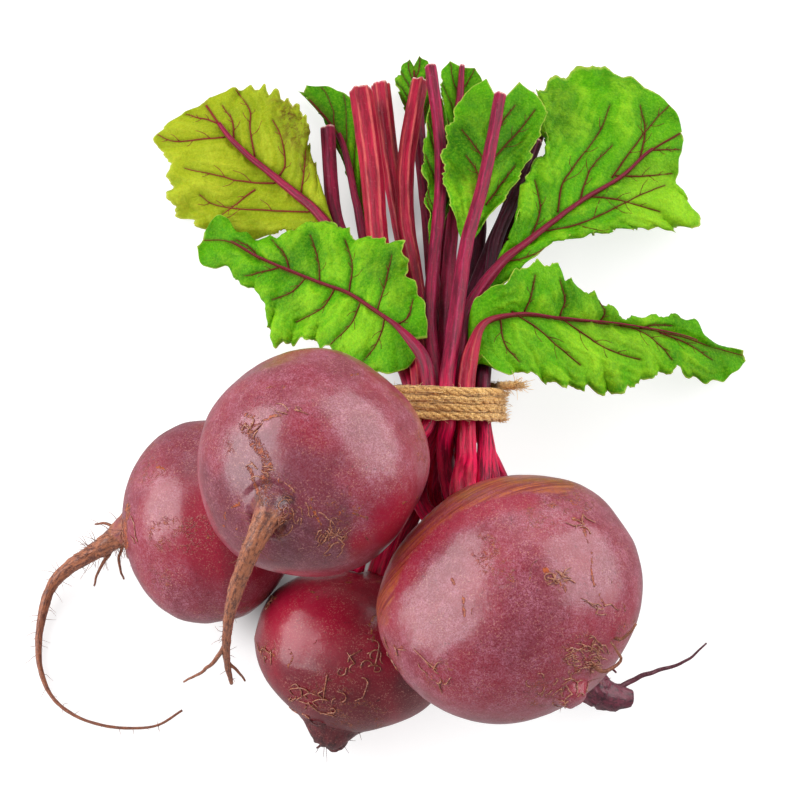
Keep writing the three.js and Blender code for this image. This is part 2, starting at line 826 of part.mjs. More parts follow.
function stalkColour(name) {
  if (name.includes("dark")) return DARK_STALK_COLOUR;
  return STALKS[name].ribbed ? CUT_STALK_COLOUR : STALK_COLOUR;
}

function meshOf(name, made, look) {
  const { vertProperties, triVerts, numProp } = made.getMesh();
  const positions = new Float32Array((vertProperties.length / numProp) * 3);
  for (let i = 0; i < positions.length / 3; i++) {
    for (let axis = 0; axis < 3; axis++) {
      positions[i * 3 + axis] = vertProperties[i * numProp + axis] + ORIGIN_SHIFT[axis];
    }
  }
  const geometry = new THREE.BufferGeometry();
  geometry.setAttribute("position", new THREE.BufferAttribute(positions, 3));
  geometry.setIndex(new THREE.BufferAttribute(new Uint32Array(triVerts), 1));
  const mesh = new THREE.Mesh(geometry, look);
  mesh.name = name;
  return mesh;
}

const bunch = new THREE.Group();
for (const [name, spec] of Object.entries(BEETS)) {
  bunch.add(meshOf(name, standing(beet(spec)), material(SKIN_COLOUR[name], 0.5)));
}
const swollen = Object.values(BEETS).map((spec) => beet(spec, GAP));
for (const [name, spec] of Object.entries(STALKS)) {
  let made = stalk(spec);
  for (const root of swollen) {
    made = made.subtract(root);
  }
  bunch.add(meshOf(name, standing(made), material(stalkColour(name), 0.4)));
}
for (const [name, spec] of Object.entries(BLADES)) {
  const colour = name === "leaf_left_high" ? LEAF_BACK_COLOUR : LEAF_COLOUR;
  const made = largest(blade(spec).subtract(stalk(STALKS[spec.stem], GAP)));
  bunch.add(meshOf(name, made, material(colour, 0.45)));
}
bunch.add(meshOf("twine", twine(), material(TWINE_COLOUR, 0.9)));

export default bunch;
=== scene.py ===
"""A bunch of fresh beetroots with stalks and leaves, tied with twine and lying on a pale surface."""
import math

import bpy
import numpy as np
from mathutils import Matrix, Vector, kdtree


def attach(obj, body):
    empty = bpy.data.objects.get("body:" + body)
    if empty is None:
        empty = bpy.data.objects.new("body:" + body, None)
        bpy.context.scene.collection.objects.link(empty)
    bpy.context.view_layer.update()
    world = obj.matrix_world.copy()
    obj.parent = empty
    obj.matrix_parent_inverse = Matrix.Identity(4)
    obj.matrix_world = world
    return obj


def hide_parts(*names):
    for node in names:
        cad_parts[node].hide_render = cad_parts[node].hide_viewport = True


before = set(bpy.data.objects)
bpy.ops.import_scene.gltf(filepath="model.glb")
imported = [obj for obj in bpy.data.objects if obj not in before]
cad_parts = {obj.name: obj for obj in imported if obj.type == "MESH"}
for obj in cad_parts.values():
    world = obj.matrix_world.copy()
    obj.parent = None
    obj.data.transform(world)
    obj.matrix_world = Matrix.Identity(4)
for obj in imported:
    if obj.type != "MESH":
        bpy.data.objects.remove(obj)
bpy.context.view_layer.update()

MM = 0.001
SHIFT = np.array([1.52, -13.06, 0.0])  # from the middle of the design to the part's own origin, mm
TURN = 2 * math.pi
UP = np.array([0.0, 0.0, 1.0])
ACROSS = np.array([1.0, 0.0, 0.0])

# ---------------------------------------------------------------- camera
ELEVATION = math.radians(75)
LENS = 110.0
SENSOR = 36.0
DISTANCE = 820.0
TARGET = np.array([0.0, 0.0, 40.0])
IMAGE = 800
BACK = np.array([0.0, -math.cos(ELEVATION), math.sin(ELEVATION)])
PICTURE_UP = np.array([0.0, math.sin(ELEVATION), math.cos(ELEVATION)])
EYE = TARGET + DISTANCE * BACK
FOCAL = LENS / SENSOR * IMAGE
MM_PER_PIXEL = 0.335


def in_picture(points):
    """Pixel places of points in millimetres."""
    seen = points - EYE
    depth = -(seen @ BACK)
    x = IMAGE / 2 + FOCAL * seen[..., 0] / depth
    y = IMAGE / 2 - FOCAL * (seen @ PICTURE_UP) / depth
    return np.stack([x, y], axis=-1)


def put_in_scene(name, data):
    """A new object that holds the data."""
    made = bpy.data.objects.new(name, data)
    bpy.context.scene.collection.objects.link(made)
    return made


def add_camera():
    data = bpy.data.cameras.new("camera")
    data.lens = LENS
    data.sensor_width = SENSOR
    data.clip_end = 20
    camera = put_in_scene("camera", data)
    camera.location = (EYE + SHIFT) * MM
    camera.rotation_euler = Vector(-BACK).to_track_quat("-Z", "Y").to_euler()
    bpy.context.scene.camera = camera


# ---------------------------------------------------------------- curves and noise
def unit(vectors):
    """The same directions with a length of one."""
    return vectors / (np.linalg.norm(vectors, axis=-1, keepdims=True) + 1e-12)


def catmull(points, samples=40):
    """A centripetal curve through the points, densely sampled."""
    p = np.asarray(points, float)
    p = np.vstack([2 * p[0] - p[1], p, 2 * p[-1] - p[-2]])
    t = np.linspace(0, 1, samples, endpoint=False)[:, None]
    made = []
    for k in range(1, len(p) - 2):
        a, b, c, d = p[k - 1:k + 3]
        gaps = [max(1e-4, np.linalg.norm(v)) ** 0.5 for v in (b - a, c - b, d - c)]
        into = (b - a) / gaps[0] - (c - a) / (gaps[0] + gaps[1]) + (c - b) / gaps[1]
        out = (c - b) / gaps[1] - (d - b) / (gaps[1] + gaps[2]) + (d - c) / gaps[2]
        m, n = into * gaps[1], out * gaps[1]
        made.append(b + m * t + (3 * (c - b) - 2 * m - n) * t**2 + (2 * (b - c) + m + n) * t**3)
    return np.vstack(made + [p[-2:-1]])


def lengths_along(line):
    """Length of a line of points from its start to each of them."""
    return np.concatenate([[0], np.cumsum(np.linalg.norm(np.diff(line, axis=0), axis=1))])


def length_of(line):
    return lengths_along(line)[-1]


def spaced(dense, shares):
    """Points of a sampled curve at shares of its length."""
    lengths = lengths_along(dense)
    wanted = np.asarray(shares) * lengths[-1]
    return np.stack([np.interp(wanted, lengths, dense[:, i]) for i in range(3)], axis=1)


def mixed(values, shares):
    """Values at shares of the way through a list of them."""
    return np.interp(np.asarray(shares) * (len(values) - 1), range(len(values)), values)


def monotone(x, y, wanted):
    """A smooth rise and fall through values, with no overshoot."""
    x, y = np.asarray(x, float), np.asarray(y, float)
    h = np.diff(x)
    slope = np.diff(y) / h
    tangent = np.zeros(len(x))
    same = slope[:-1] * slope[1:] > 0
    w1, w2 = 2 * h[1:] + h[:-1], h[1:] + 2 * h[:-1]
    with np.errstate(divide="ignore", invalid="ignore"):
        mean = (w1 + w2) / (w1 / slope[:-1] + w2 / slope[1:])
    tangent[1:-1] = np.where(same, mean, 0)
    tangent[0], tangent[-1] = slope[0], slope[-1]
    k = np.clip(np.searchsorted(x, wanted) - 1, 0, len(h) - 1)
    t = (wanted - x[k]) / h[k]
    return ((1 + 2 * t) * (1 - t) ** 2 * y[k] + t * (1 - t) ** 2 * h[k] * tangent[k]
            + t * t * (3 - 2 * t) * y[k + 1] + t * t * (t - 1) * h[k] * tangent[k + 1])


def smoothstep(x, low, high):
    t = np.clip((x - low) / (high - low), 0, 1)
    return t * t * (3 - 2 * t)


def near(away, inner, outer):
    """1 up to the inner distance, falling to 0 at the outer one."""
    return 1 - smoothstep(away, inner, outer)


def carried(centres, first):
    """Two directions across a line, carried along it without twist."""
    along = unit(np.gradient(centres, axis=0))
    across = np.zeros_like(centres)
    side = np.asarray(first, float)
    for k in range(len(centres)):
        side = side - along[k] * (side @ along[k])
        side /= np.linalg.norm(side)
        across[k] = side
    return across, np.cross(along, across)


def turns(sides):
    return TURN * np.arange(sides) / sides


def around(across, over, size, turn):
    """Steps from a line to the rings round it, from their size at each turn."""
    sideways, upwards = size * np.cos(turn), size * np.sin(turn)
    return across[:, None] * sideways[..., None] + over[:, None] * upwards[..., None]


HASH = np.array([374761393, 668265263, 1274126177])


def noise(points, size, seed=0):
    """Smooth noise between -1 and 1 with lumps of about the given size."""
    q = points / size + seed * 7.31
    low = np.floor(q).astype(np.int64)
    f = q - low
    f = f * f * (3 - 2 * f)
    total = 0
    for corner in np.ndindex(2, 2, 2):
        d = np.array(corner[::-1])
        h = ((low + d) @ HASH + seed * 99991) & 0xFFFFFFFF
        h = ((h ^ (h >> 13)) * 1103515245) & 0xFFFFFFFF
        h = (h ^ (h >> 16)) & 0xFFFF
        weight = np.prod(np.where(d == 1, f, 1 - f), axis=-1)
        total = total + weight * h / 65535
    return 2 * total - 1


def shaken(points, size, seed, apart):
    """Noise in three directions, each read this far from the last."""
    return np.stack([noise(points + apart * axis, size, seed) for axis in range(3)], axis=-1)


def near_line(points, line):
    """Distance of each point from a line of points."""
    best = np.full(len(points), 1e9)
    line = np.asarray(line, float)
    for a, b in zip(line[:-1], line[1:]):
        step = b - a
        t = np.clip(((points - a) @ step) / (step @ step + 1e-12), 0, 1)
        best = np.minimum(best, np.linalg.norm(points - a - t[:, None] * step, axis=1))
    return best


def on_plane(pixels):
    """Pixel places with a third coordinate of 0."""
    return np.pad(np.asarray(pixels, float), ((0, 0), (0, 1)))


def tree_of(points):
    """A tree that finds the points nearest to a place."""
    tree = kdtree.KDTree(len(points))
    for index, point in enumerate(points):
        tree.insert(point, index)
    tree.balance()
    return tree


def draws(seed):
    """The same seeded draws that place the part's own teeth and lumps."""
    state = [seed]

    def draw():
        state[0] = state[0] * 16807 % 2147483647
        return state[0] / 2147483647

    return draw


# ---------------------------------------------------------------- meshes
class Form:
    """Points, faces and painted values of one piece, gathered before its mesh is made."""

    def __init__(self):
        self.points, self.quads, self.tris, self.marks, self.count = [], [], [], [], 0

    def add(self, points, quads, tris=(), **marks):
        self.points.append(points)
        self.quads.append(np.asarray(quads, int).reshape(-1, 4) + self.count)
        self.tris.append(np.asarray(tris, int).reshape(-1, 3) + self.count)
        self.marks.append({k: np.broadcast_to(v, (len(points),)) for k, v in marks.items()})
        self.count += len(points)

    def rings(self, rings, **marks):
        """Closed skin over rings of equal numbers of points."""
        n, m = rings.shape[:2]
        i, j = np.meshgrid(np.arange(n - 1), np.arange(m), indexing="ij")
        a = (i * m + j).ravel()
        b = (i * m + (j + 1) % m).ravel()
        quads = np.stack([a, b, b + m, a + m], axis=1)
        this, after = np.arange(m), (np.arange(m) + 1) % m
        points = np.vstack([rings.reshape(-1, 3), rings[0].mean(0), rings[-1].mean(0)])
        first, last, base = n * m, n * m + 1, (n - 1) * m
        tris = np.vstack([np.stack([np.full(m, first), after, this], 1),
                          np.stack([np.full(m, last), base + this, base + after], 1)])
        marks = {k: np.broadcast_to(v, (n, m)).ravel() for k, v in marks.items()}
        marks = {k: np.concatenate([v, v[:1], v[-1:]]) for k, v in marks.items()}
        self.add(points, quads, tris, **marks)

    def object(self, name, material, slot, *nodes):
        """The piece as a mesh that rides on the bunch and takes the place of its CAD nodes."""
        points = (np.vstack(self.points) + SHIFT) * MM
        quads, tris = np.vstack(self.quads), np.vstack(self.tris)
        mesh = bpy.data.meshes.new(name)
        mesh.vertices.add(len(points))
        mesh.vertices.foreach_set("co", points.astype(np.float32).ravel())
        loops = np.concatenate([quads.ravel(), tris.ravel()])
        starts = np.concatenate([np.arange(len(quads)) * 4, 4 * len(quads) + np.arange(len(tris)) * 3])
        mesh.loops.add(len(loops))
        mesh.loops.foreach_set("vertex_index", loops.astype(np.int32))
        mesh.polygons.add(len(starts))
        mesh.polygons.foreach_set("loop_start", starts.astype(np.int32))
        mesh.update(calc_edges=True)
        for key in sorted({k for marks in self.marks for k in marks}):
            values = [marks.get(key, np.zeros(len(p))) for marks, p in zip(self.marks, self.points)]
            layer = mesh.attributes.new(key, "FLOAT", "POINT")
            layer.data.foreach_set("value", np.concatenate(values).astype(np.float32))
        mesh.validate()
        mesh.polygons.foreach_set("use_smooth", np.ones(len(mesh.polygons), bool))
        mesh.materials.append(material)
        made = put_in_scene(name, mesh)
        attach(made, "root")
        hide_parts(*nodes)


def tube(form, line, radii, sides, first=UP, shape=None, **marks):
    """A round or ribbed tube along a line, with one radius for each of its points."""
    turn = turns(sides)
    size = np.asarray(radii)[:, None] * np.ones(sides)
    if shape is not None:
        size = size * shape(turn[None, :], np.linspace(0, 1, len(line))[:, None])
    form.rings(line[:, None] + around(*carried(line, first), size, turn), **marks)


def thread(form, points, thick, thin, sides=6, step=0.9, wiggle=0.0, seed=0, **marks):
    """A rootlet or fibre, a little crooked, tapering from thick to thin."""
    dense = catmull(points, 16)
    count = max(4, int(length_of(dense) / step))
    shares = np.linspace(0, 1, count)
    line = spaced(dense, shares)
    if wiggle:
        line = line + wiggle * shaken(line, 3.0, seed, 31) * np.minimum(1, 4 * shares)[:, None]
    line[:, 2] = np.maximum(line[:, 2], thin)
    first = UP if abs((line[-1] - line[0])[2]) < 0.9 * length_of(line) else ACROSS
    tube(form, line, np.linspace(thick, thin, count), sides, first, **marks)


# ---------------------------------------------------------------- roots
# Swelling of a root along its axis, from the crown to the start of the taproot.
BEET_PROFILE = [(-1.0, 0.1), (-0.985, 0.24), (-0.93, 0.36), (-0.83, 0.55), (-0.67, 0.74),
                (-0.43, 0.91), (-0.15, 0.99), (0.12, 0.995)]
TAPERED_END = [(0.38, 0.93), (0.6, 0.8), (0.79, 0.61), (0.93, 0.42), (1.04, 0.27)]
ROUND_END = [(0.38, 0.94), (0.61, 0.82), (0.79, 0.65), (0.91, 0.46), (0.98, 0.27), (1.02, 0.15)]
LUMP = 0.018
SKIN_STEP = 0.95   # size of a face of the skin, mm
OUTLINE_SAMPLES, CARRIED_SAMPLES = 4000, 1200
COLLAR = 16.0      # length of taproot that is one mesh with the swollen root, mm
OVERLAP = 3.0      # length of the thin taproot inside the collar, mm
TAPROOT_SIDES = 22
TAPROOT_SHARE = 0.985
CROWN_RISE = 0.9   # height of the middle of the crown over its rim, mm
SCRATCHES, PATCHES = 18, 8

# Places and sizes in mm. Rootlets are (points, thickness at the start and the end), and hairs are
# (from and to along the root, number, length, thickness). What the skin shows is at pixels of the
# photograph: spots (kind, x, y, size, strength), strokes (kind, width, strength, line) and curls
# (x, y, spread, number, length in mm, thickness in mm).
BEETS = {
    "beet_left": dict(
        centre=[-62.1, -40.3, 31.8], axis=[-0.99, -0.09, -0.1], half=30, radius=33.4, squash=0.96,
        end=ROUND_END, shoulder=0.1, seed=11, crown_cork=0.5,
        root=[[-99, -46, 24], [-109, -50, 15], [-118, -55, 7.5], [-123, -68, 3], [-123, -84, 2],
            [-118, -95, 2], [-108, -102, 2], [-94, -105, 2], [-82, -104, 2], [-74, -99, 2]],
        root_radii=[3.9, 3, 2.5, 2, 1.4, 1, 0.7, 0.55, 0.5, 0.45, 0.4],
        rootlets=[[[[-94, -42, 24], [-99, -38, 19], [-104, -37, 15]], 0.8, 0.45],
            [[[-97, -47, 22], [-102, -53, 16], [-104, -58, 12]], 0.8, 0.45],
            [[[-93, -45, 26], [-95, -51, 19], [-94, -56, 13]], 0.7, 0.45]],
        curls=[(130, 535, 12, 12, 6, 0.28)],
        hairs=[(58, 80, 60, 6, 0.11), (66, 130, 40, 5, 0.09), (130, 200, 14, 3, 0.08)],
        spots=[("blush", 230, 530, 84, 1), ("net", 150, 470, 26, 0.4), ("net", 160, 580, 22, 0.4),
            ("dull", 190, 450, 50, 0.4)],
        strokes=[("cork", 4, 0.7, [(128, 505), (125, 525), (126, 548)])]),
    "beet_front": dict(
        centre=[-16.5, -82, 27], axis=[-0.24, -0.9, -0.3], half=26, radius=32.4, squash=0.85,
        end=TAPERED_END, shoulder=-0.03, seed=23, crown_cork=0,
        root=[[-23, -106, 13], [-22.5, -108.5, 10], [-21, -111, 7]], root_radii=[7.5, 5.6, 4.8, 4.6, 3.8],
        rootlets=[[[[-27, -98, 24], [-31, -104, 28], [-27, -108, 31], [-21, -106, 33]], 0.8, 0.5],
            [[[-14, -103, 30], [-10, -107, 34], [-5, -104, 37], [-3, -98, 40]], 0.8, 0.5],
            [[[-8, -98, 38], [-11, -101, 42], [-8, -102, 46], [-4, -99, 47]], 0.75, 0.5],
            [[[-22, -108, 9], [-26, -111, 7], [-28, -112, 4]], 0.9, 0.5]],
        curls=[(322, 692, 22, 16, 13, 0.3), (362, 668, 16, 10, 11, 0.3), (300, 705, 12, 8, 8, 0.3),
            (268, 652, 8, 5, 4, 0.3), (268, 596, 7, 4, 4, 0.3)],
        hairs=[(50, 62, 16, 5, 0.12)],
        # The dull spots low on this beet are painted shade on its lower side, which lies in the shadow of the
        # right beet.
        spots=[("blush", 305, 620, 62, 0.9), ("net", 268, 652, 16, 0.7), ("net", 330, 690, 34, 0.5),
            ("dull", 350, 722, 60, 0.7), ("dull", 420, 700, 40, 0.6), ("dull", 286, 704, 34, 0.4),
            ("blush", 385, 655, 40, 0.5)],
        strokes=[("cork", 4, 0.8, [(262, 594), (274, 597)]), ("cork", 4, 0.7, [(262, 650), (274, 655)])]),
    "beet_rear": dict(
        centre=[37, -60, 23.8], axis=[0.63, -0.73, -0.18], half=32, radius=25.5, squash=0.93,
        end=TAPERED_END, seed=37, crown_cork=0.5, root=[[63, -91, 13], [70, -95, 9], [78, -95.5, 6.5]],
        root_radii=[8, 6.5, 5.8, 5.2, 3.2],
        rootlets=[[[[73, -93, 10], [80, -89, 9], [89, -86, 8], [97, -83, 8], [104, -77, 9]], 1.1, 0.5],
            [[[66, -88, 13], [70, -86, 15], [73, -88, 13]], 0.8, 0.5]],
        hairs=[(62, 80, 14, 4, 0.12)]),
    "beet_right": dict(
        centre=[34.5, -75.5, 84.5], axis=[0.47, -0.84, 0.27], half=36, radius=41.2, squash=0.84,
        end=ROUND_END, shoulder=-0.04, seed=41, crown_cork=0.4, corky_crown=(-0.78, -0.6), rooty=0.3,
        root=[[52.9, -108.3, 95], [53.4, -109.2, 95.3]], root_radii=[5.5, 4.2, 3],
        rootlets=[[[[55, -95, 98], [61, -101, 102], [66, -98, 105], [63, -93, 109]], 0.8, 0.5],
            [[[60, -88, 98], [67, -91, 102], [71, -87, 104]], 0.8, 0.5]],
        curls=[(583, 655, 21, 44, 9, 0.3), (575, 690, 14, 12, 7, 0.3), (600, 610, 8, 5, 9, 0.26),
            (555, 578, 9, 10, 6, 0.32), (578, 520, 9, 6, 5, 0.3), (543, 695, 18, 10, 6, 0.28),
            (440, 675, 14, 8, 6, 0.26), (395, 650, 9, 7, 5, 0.3)],
        hairs=[(66, 76, 10, 4, 0.11)],
        spots=[("net", 440, 675, 24, 0.6), ("net", 543, 695, 24, 0.7), ("net", 582, 655, 30, 1),
            ("net", 556, 580, 16, 0.9), ("net", 395, 650, 16, 0.6), ("blush", 580, 688, 13, 0.7),
            ("cork", 578, 690, 10, 0.35), ("blush", 615, 620, 44, 0.35), ("cork", 590, 668, 16, 0.45)],
        strokes=[("blush", 15, 0.5, [(386, 622), (394, 590), (414, 556), (444, 526), (482, 508),
            (530, 500)]),
            ("crown", 14, 1, [(381, 616), (386, 582), (402, 552), (426, 524), (454, 503), (488, 489),
            (530, 482), (565, 485)]), ("cork", 3, 0.9, [(545, 570), (556, 578), (565, 590)]),
            ("cork", 3, 0.8, [(573, 518), (585, 522)]),
            ("cork", 2.4, 0.8, [(583, 525), (592, 555), (592, 580), (605, 605)])]),
    "beet_top": dict(
        centre=[-27.4, -34.5, 93], axis=[-0.33, -0.61, 0.72], half=34.5, radius=35.5, squash=1,
        end=ROUND_END, seed=53, crown_cork=0.15, bare=(0.94, 1.04), collar=0.45,
        root=[[-41.5, -61.5, 120], [-45.5, -69, 114.5], [-49.8, -77, 103], [-53, -85, 88], [-54.3, -92, 73],
            [-53.6, -98, 58]],
        root_radii=[4, 3.2, 2.7, 2.3, 1.7, 1.35, 1.15, 0.65],
        rootlets=[[[[-53, -88, 82], [-58, -93, 72], [-64, -96, 62], [-69, -97, 54]], 0.9, 0.5],
            [[[-54, -93, 69], [-51, -96, 66], [-49, -98, 63]], 0.7, 0.45]],
        curls=[(332, 540, 15, 16, 10, 0.28), (300, 508, 22, 14, 11, 0.26), (265, 470, 10, 8, 5, 0.3),
            (250, 430, 9, 6, 5, 0.3), (292, 410, 8, 4, 4, 0.25)],
        hairs=[(68, 84, 34, 4, 0.11), (84, 150, 26, 4, 0.09)],
        spots=[("net", 332, 540, 26, 0.9), ("net", 275, 500, 36, 0.7), ("net", 255, 530, 26, 0.6),
            ("blush", 405, 532, 52, 1), ("blush", 360, 560, 44, 0.8), ("dull", 296, 532, 44, 0.6),
            ("dull", 268, 500, 22, 0.6), ("net", 220, 450, 22, 0.5)],
        strokes=[("dull", 9, 0.95, [(252, 494), (262, 502), (276, 504), (292, 499)]),
            ("cork", 11, 0.58, [(243, 425), (257, 445), (268, 464), (265, 488)]),
            ("cork", 4, 0.7, [(250, 470), (258, 492), (262, 505)]),
            ("cork", 3, 0.6, [(318, 530), (333, 545), (345, 560)])]),
}


def root_spine(spec):
    """Stations of a root: centres and radii, its direction, and the swollen part's shares of the axis."""
    heart = np.array(spec["centre"], float)
    direction = unit(np.array(spec["axis"], float))
    profile = np.array(BEET_PROFILE + spec["end"])
    shares = profile[:, 0]
    body = heart + np.outer(shares, direction) * spec["half"]
    neck = heart + direction * (shares[-1] + 0.05) * spec["half"]
    count = len(spec["root"]) + 3
    dense = catmull([body[-1], neck, *np.array(spec["root"], float)])
    tail = spaced(dense, np.linspace(0, 1, count + 1))[1:]
    narrowing = 1 - spec.get("shoulder", 0) * smoothstep(-shares, 0.1, 0.8)
    tail_radii = mixed(spec["root_radii"], np.arange(1, count + 1) / count)
    radii = np.concatenate([profile[:, 1] * narrowing * spec["radius"], tail_radii])
    return np.vstack([body, tail]), radii, direction, shares


class Root:
    """Rings of one root from the middle of its crown to its tip, an even step of skin apart."""

    def __init__(self, spec):
        self.spec = spec
        self.centres, self.radii, direction, self.shares = root_spine(spec)
        self.lengths = lengths_along(self.centres)
        body = len(self.shares)
        whole = self.lengths[-1]
        fine = np.linspace(0, whole, OUTLINE_SAMPLES)
        girth = monotone(self.lengths, self.radii, fine)
        outline = np.concatenate([[0], np.cumsum(np.hypot(np.diff(fine), np.diff(girth)))])
        place = np.interp(np.linspace(0, outline[-1], int(outline[-1] / SKIN_STEP)), outline, fine)
        crown = np.linspace(0, 1, 5)[:-1] * self.radii[0]
        self.place = np.concatenate([0 * crown, place])
        self.size = np.concatenate([crown, monotone(self.lengths, self.radii, place)])
        dense = catmull(self.centres)
        self.line = spaced(dense, self.place / whole)
        self.line[:len(crown)] -= direction * (CROWN_RISE * (1 - crown / self.radii[0]) ** 2)[:, None]
        self.station = np.interp(self.place, self.lengths, np.arange(len(self.lengths)))
        self.in_body = near(self.station, body - 1, body)
        first = ACROSS if abs(direction[0]) < 0.8 else UP
        across, over = carried(spaced(dense, np.linspace(0, 1, CARRIED_SAMPLES)), first)
        pick = (self.place / whole * (CARRIED_SAMPLES - 1)).round().astype(int)
        self.across, self.over = across[pick], over[pick]
        self.collar_end = self.lengths[body - 1] + COLLAR

    def skin(self, chosen, sides, phases, shrink):
        """Lumpy rings at the chosen stations, and the way out of the root at each point."""
        turn = turns(sides)
        k = self.station[chosen][:, None]
        lobes = zip((2, 3, 5), phases, (0, 0.3, 0))
        waves = sum(np.sin(number * turn + phase + drift * k) for number, phase, drift in lobes)
        size = self.size[chosen][:, None] * (1 + LUMP * waves) * shrink
        steps = around(self.across[chosen], self.over[chosen], size, turn)
        steps[..., 2] *= 1 + (self.spec["squash"] - 1) * self.in_body[chosen][:, None]
        return self.line[chosen][:, None] + steps, unit(steps)


def placed_marks(spec, points, seen):
    """Corky, netted, blushed, dulled and ringed places that the photograph shows; the dull marks low on the
    front beet are painted shade.
    """
    marks = {key: np.zeros(len(points)) for key in ("cork", "net", "blush", "dull", "crown")}
    pixels = in_picture(points)
    for kind, x, y, size, strength in spec.get("spots", []):
        spot = near(np.linalg.norm(pixels - (x, y), axis=1), 0.3 * size, size)
        marks[kind] = np.maximum(marks[kind], strength * seen * spot)
    for kind, width, strength, line in spec.get("strokes", []):
        stroke = near(near_line(pixels, line) + 1.5 * noise(points, 2.2, 5), 0.25 * width, width)
        marks[kind] = np.maximum(marks[kind], strength * seen * stroke)
    return marks


def random_scars(spec, points, rng):
    """Short corky scratches and netted patches scattered on every side."""
    cork, net = np.zeros(len(points)), np.zeros(len(points))
    heart, radius = np.array(spec["centre"]), spec["radius"]
    ball = heart + radius * unit(points - heart)
    for k in range(SCRATCHES + PATCHES):
        way = unit(rng.normal(size=3))
        bend = unit(np.cross(way, rng.normal(size=3)))
        reach = radius * rng.uniform(0.05, 0.3)
        middle = heart + radius * way
        line = [middle + bend * t * reach + 1.2 * rng.normal(size=3) for t in (-1, -0.4, 0.3, 1)]
        away = near_line(ball, line)
        if k < SCRATCHES:
            cork = np.maximum(cork, rng.uniform(0.6, 1.0) * near(away, 0.25, 0.9))
        else:
            net = np.maximum(net, rng.uniform(0.4, 0.9) * near(away, 2, 8))
    return cork, net


def add_skin(form, root, chosen, sides, shrink, phases, rng):
    """A stretch of skin with what is painted on it and its fine relief."""
    spec = root.spec
    rings, outward = root.skin(chosen, sides, phases, shrink)
    points = rings.reshape(-1, 3)
    of_rings = (root.in_body, root.place, root.size)
    swollen, place, thick = (np.repeat(values[chosen], sides) for values in of_rings)
    share = np.interp(place, root.lengths[:len(root.shares)], root.shares)
    seen = smoothstep(outward.reshape(-1, 3) @ BACK, -0.05, 0.1)
    rough = noise(points, 6, 3)
    at_crown = near(share + 0.08 * rough, *spec.get("corky_crown", (-0.93, -0.74)))
    at_root = (1 - swollen) + 0.75 * smoothstep(share + 0.05 * rough, *spec.get("bare", (0.86, 1.0)))
    collar = spec.get("collar", 0) * smoothstep(share + 0.12 * rough, 0.66, 0.9)
    marks = placed_marks(spec, points, seen)
    scars, nets = random_scars(spec, points, rng)
    marks["cork"] = np.maximum.reduce([marks["cork"], scars * swollen, spec["crown_cork"] * at_crown])
    marks["net"] = np.maximum(marks["net"], nets * swollen)
    marks["dull"] = np.maximum(marks["dull"], collar)
    marks["crown"] = np.maximum(marks["crown"], at_crown * min(1, 1.3 * spec["crown_cork"]))
    marks["root"] = np.clip(at_root, 0, 1) * spec.get("rooty", 1.0)
    marks["along"] = place
    marks["side_x"] = np.tile(np.cos(turns(sides)), len(rings))
    marks["side_y"] = np.tile(np.sin(turns(sides)), len(rings))
    ringy = np.sin(place * 2.1 + 2 * rough) * smoothstep(share, 0.8, 1.0)
    lift = (0.42 * noise(points, 17, 1) + 0.13 * rough + 0.05 * noise(points, 2.1, 2)) * swollen
    lift += 0.12 * ringy * swollen
    lift += 0.22 * marks["cork"] * (0.6 + 0.4 * noise(points, 1.3, 4))
    lift += 0.25 * at_crown * noise(points, 1.9, 6)
    lift += (1 - swollen) * thick * (0.10 * noise(points, 2.6, 7) + 0.07 * noise(points, 1.1, 8))
    rings = rings + outward * lift.reshape(rings.shape[:2])[..., None]
    rings[..., 2] = np.maximum(rings[..., 2], 0.0)
    form.rings(rings, **{key: value.reshape(rings.shape[:2]) for key, value in marks.items()})
    return rings.reshape(-1, 3), outward.reshape(-1, 3), seen


def add_curls(form, spec, skin, outward, seen):
    """Fine dried rootlets that curl and cling to the skin."""
    rng = np.random.default_rng(spec["seed"] + 5)
    tree = tree_of(skin)
    pixels = in_picture(skin)
    step = 1.6  # mm
    for x, y, spread, count, long, thick in spec.get("curls", []):
        starts = np.flatnonzero((np.linalg.norm(pixels - (x, y), axis=1) < spread) & (seen > 0.3))
        for _ in range(count):
            k = int(rng.choice(starts))
            heading = np.cross(outward[k], rng.normal(size=3))
            bend = rng.uniform(-0.7, 0.7)
            line = [skin[k]]
            for _ in range(max(3, int(long * rng.uniform(0.4, 1.2) / step))):
                bend += rng.normal() * 0.35
                heading = unit(heading)
                heading = heading * math.cos(bend) + np.cross(outward[k], heading) * math.sin(bend)
                _, k, _ = tree.find(skin[k] + heading * step)
                heading = heading - outward[k] * (heading @ outward[k])
                line.append(skin[k] + outward[k] * thick * rng.uniform(0.2, 1.6))
            thread(form, line, thick, thick * 0.45, sides=5, step=0.8, seed=3, curl=1.0)


def add_hairs(form, root, rng):
    """Fine root hairs on the taproot and round its base."""
    dense = catmull(root.centres)
    whole = root.lengths[-1]
    for low, high, count, long, thick in root.spec["hairs"]:
        for _ in range(count):
            along = min(rng.uniform(low, high), whole - 1.5)
            here, ahead = spaced(dense, [along / whole, min(1, (along + 1) / whole)])
            axis = unit(ahead - here)
            out = unit(np.cross(axis, rng.normal(size=3)))
            radius = monotone(root.lengths, root.radii, np.array([along]))[0]
            reach = long * rng.uniform(0.4, 1.0)
            start = here + out * radius * 0.85
            bend = axis * rng.uniform(-0.2, 0.8) + rng.normal(size=3) * 0.25 + [0, 0, -0.35]
            steps = [0 * out, (out * 0.7 + bend * 0.3) * reach * 0.5, (out + bend) * reach]
            line = start + np.array(steps)
            line[:, 2] = np.maximum(line[:, 2], 0.15)
            thread(form, line, thick, thick * 0.4, sides=4, step=1.1, wiggle=0.5,
                   seed=int(rng.integers(99)), cork=0.6, root=1.0)


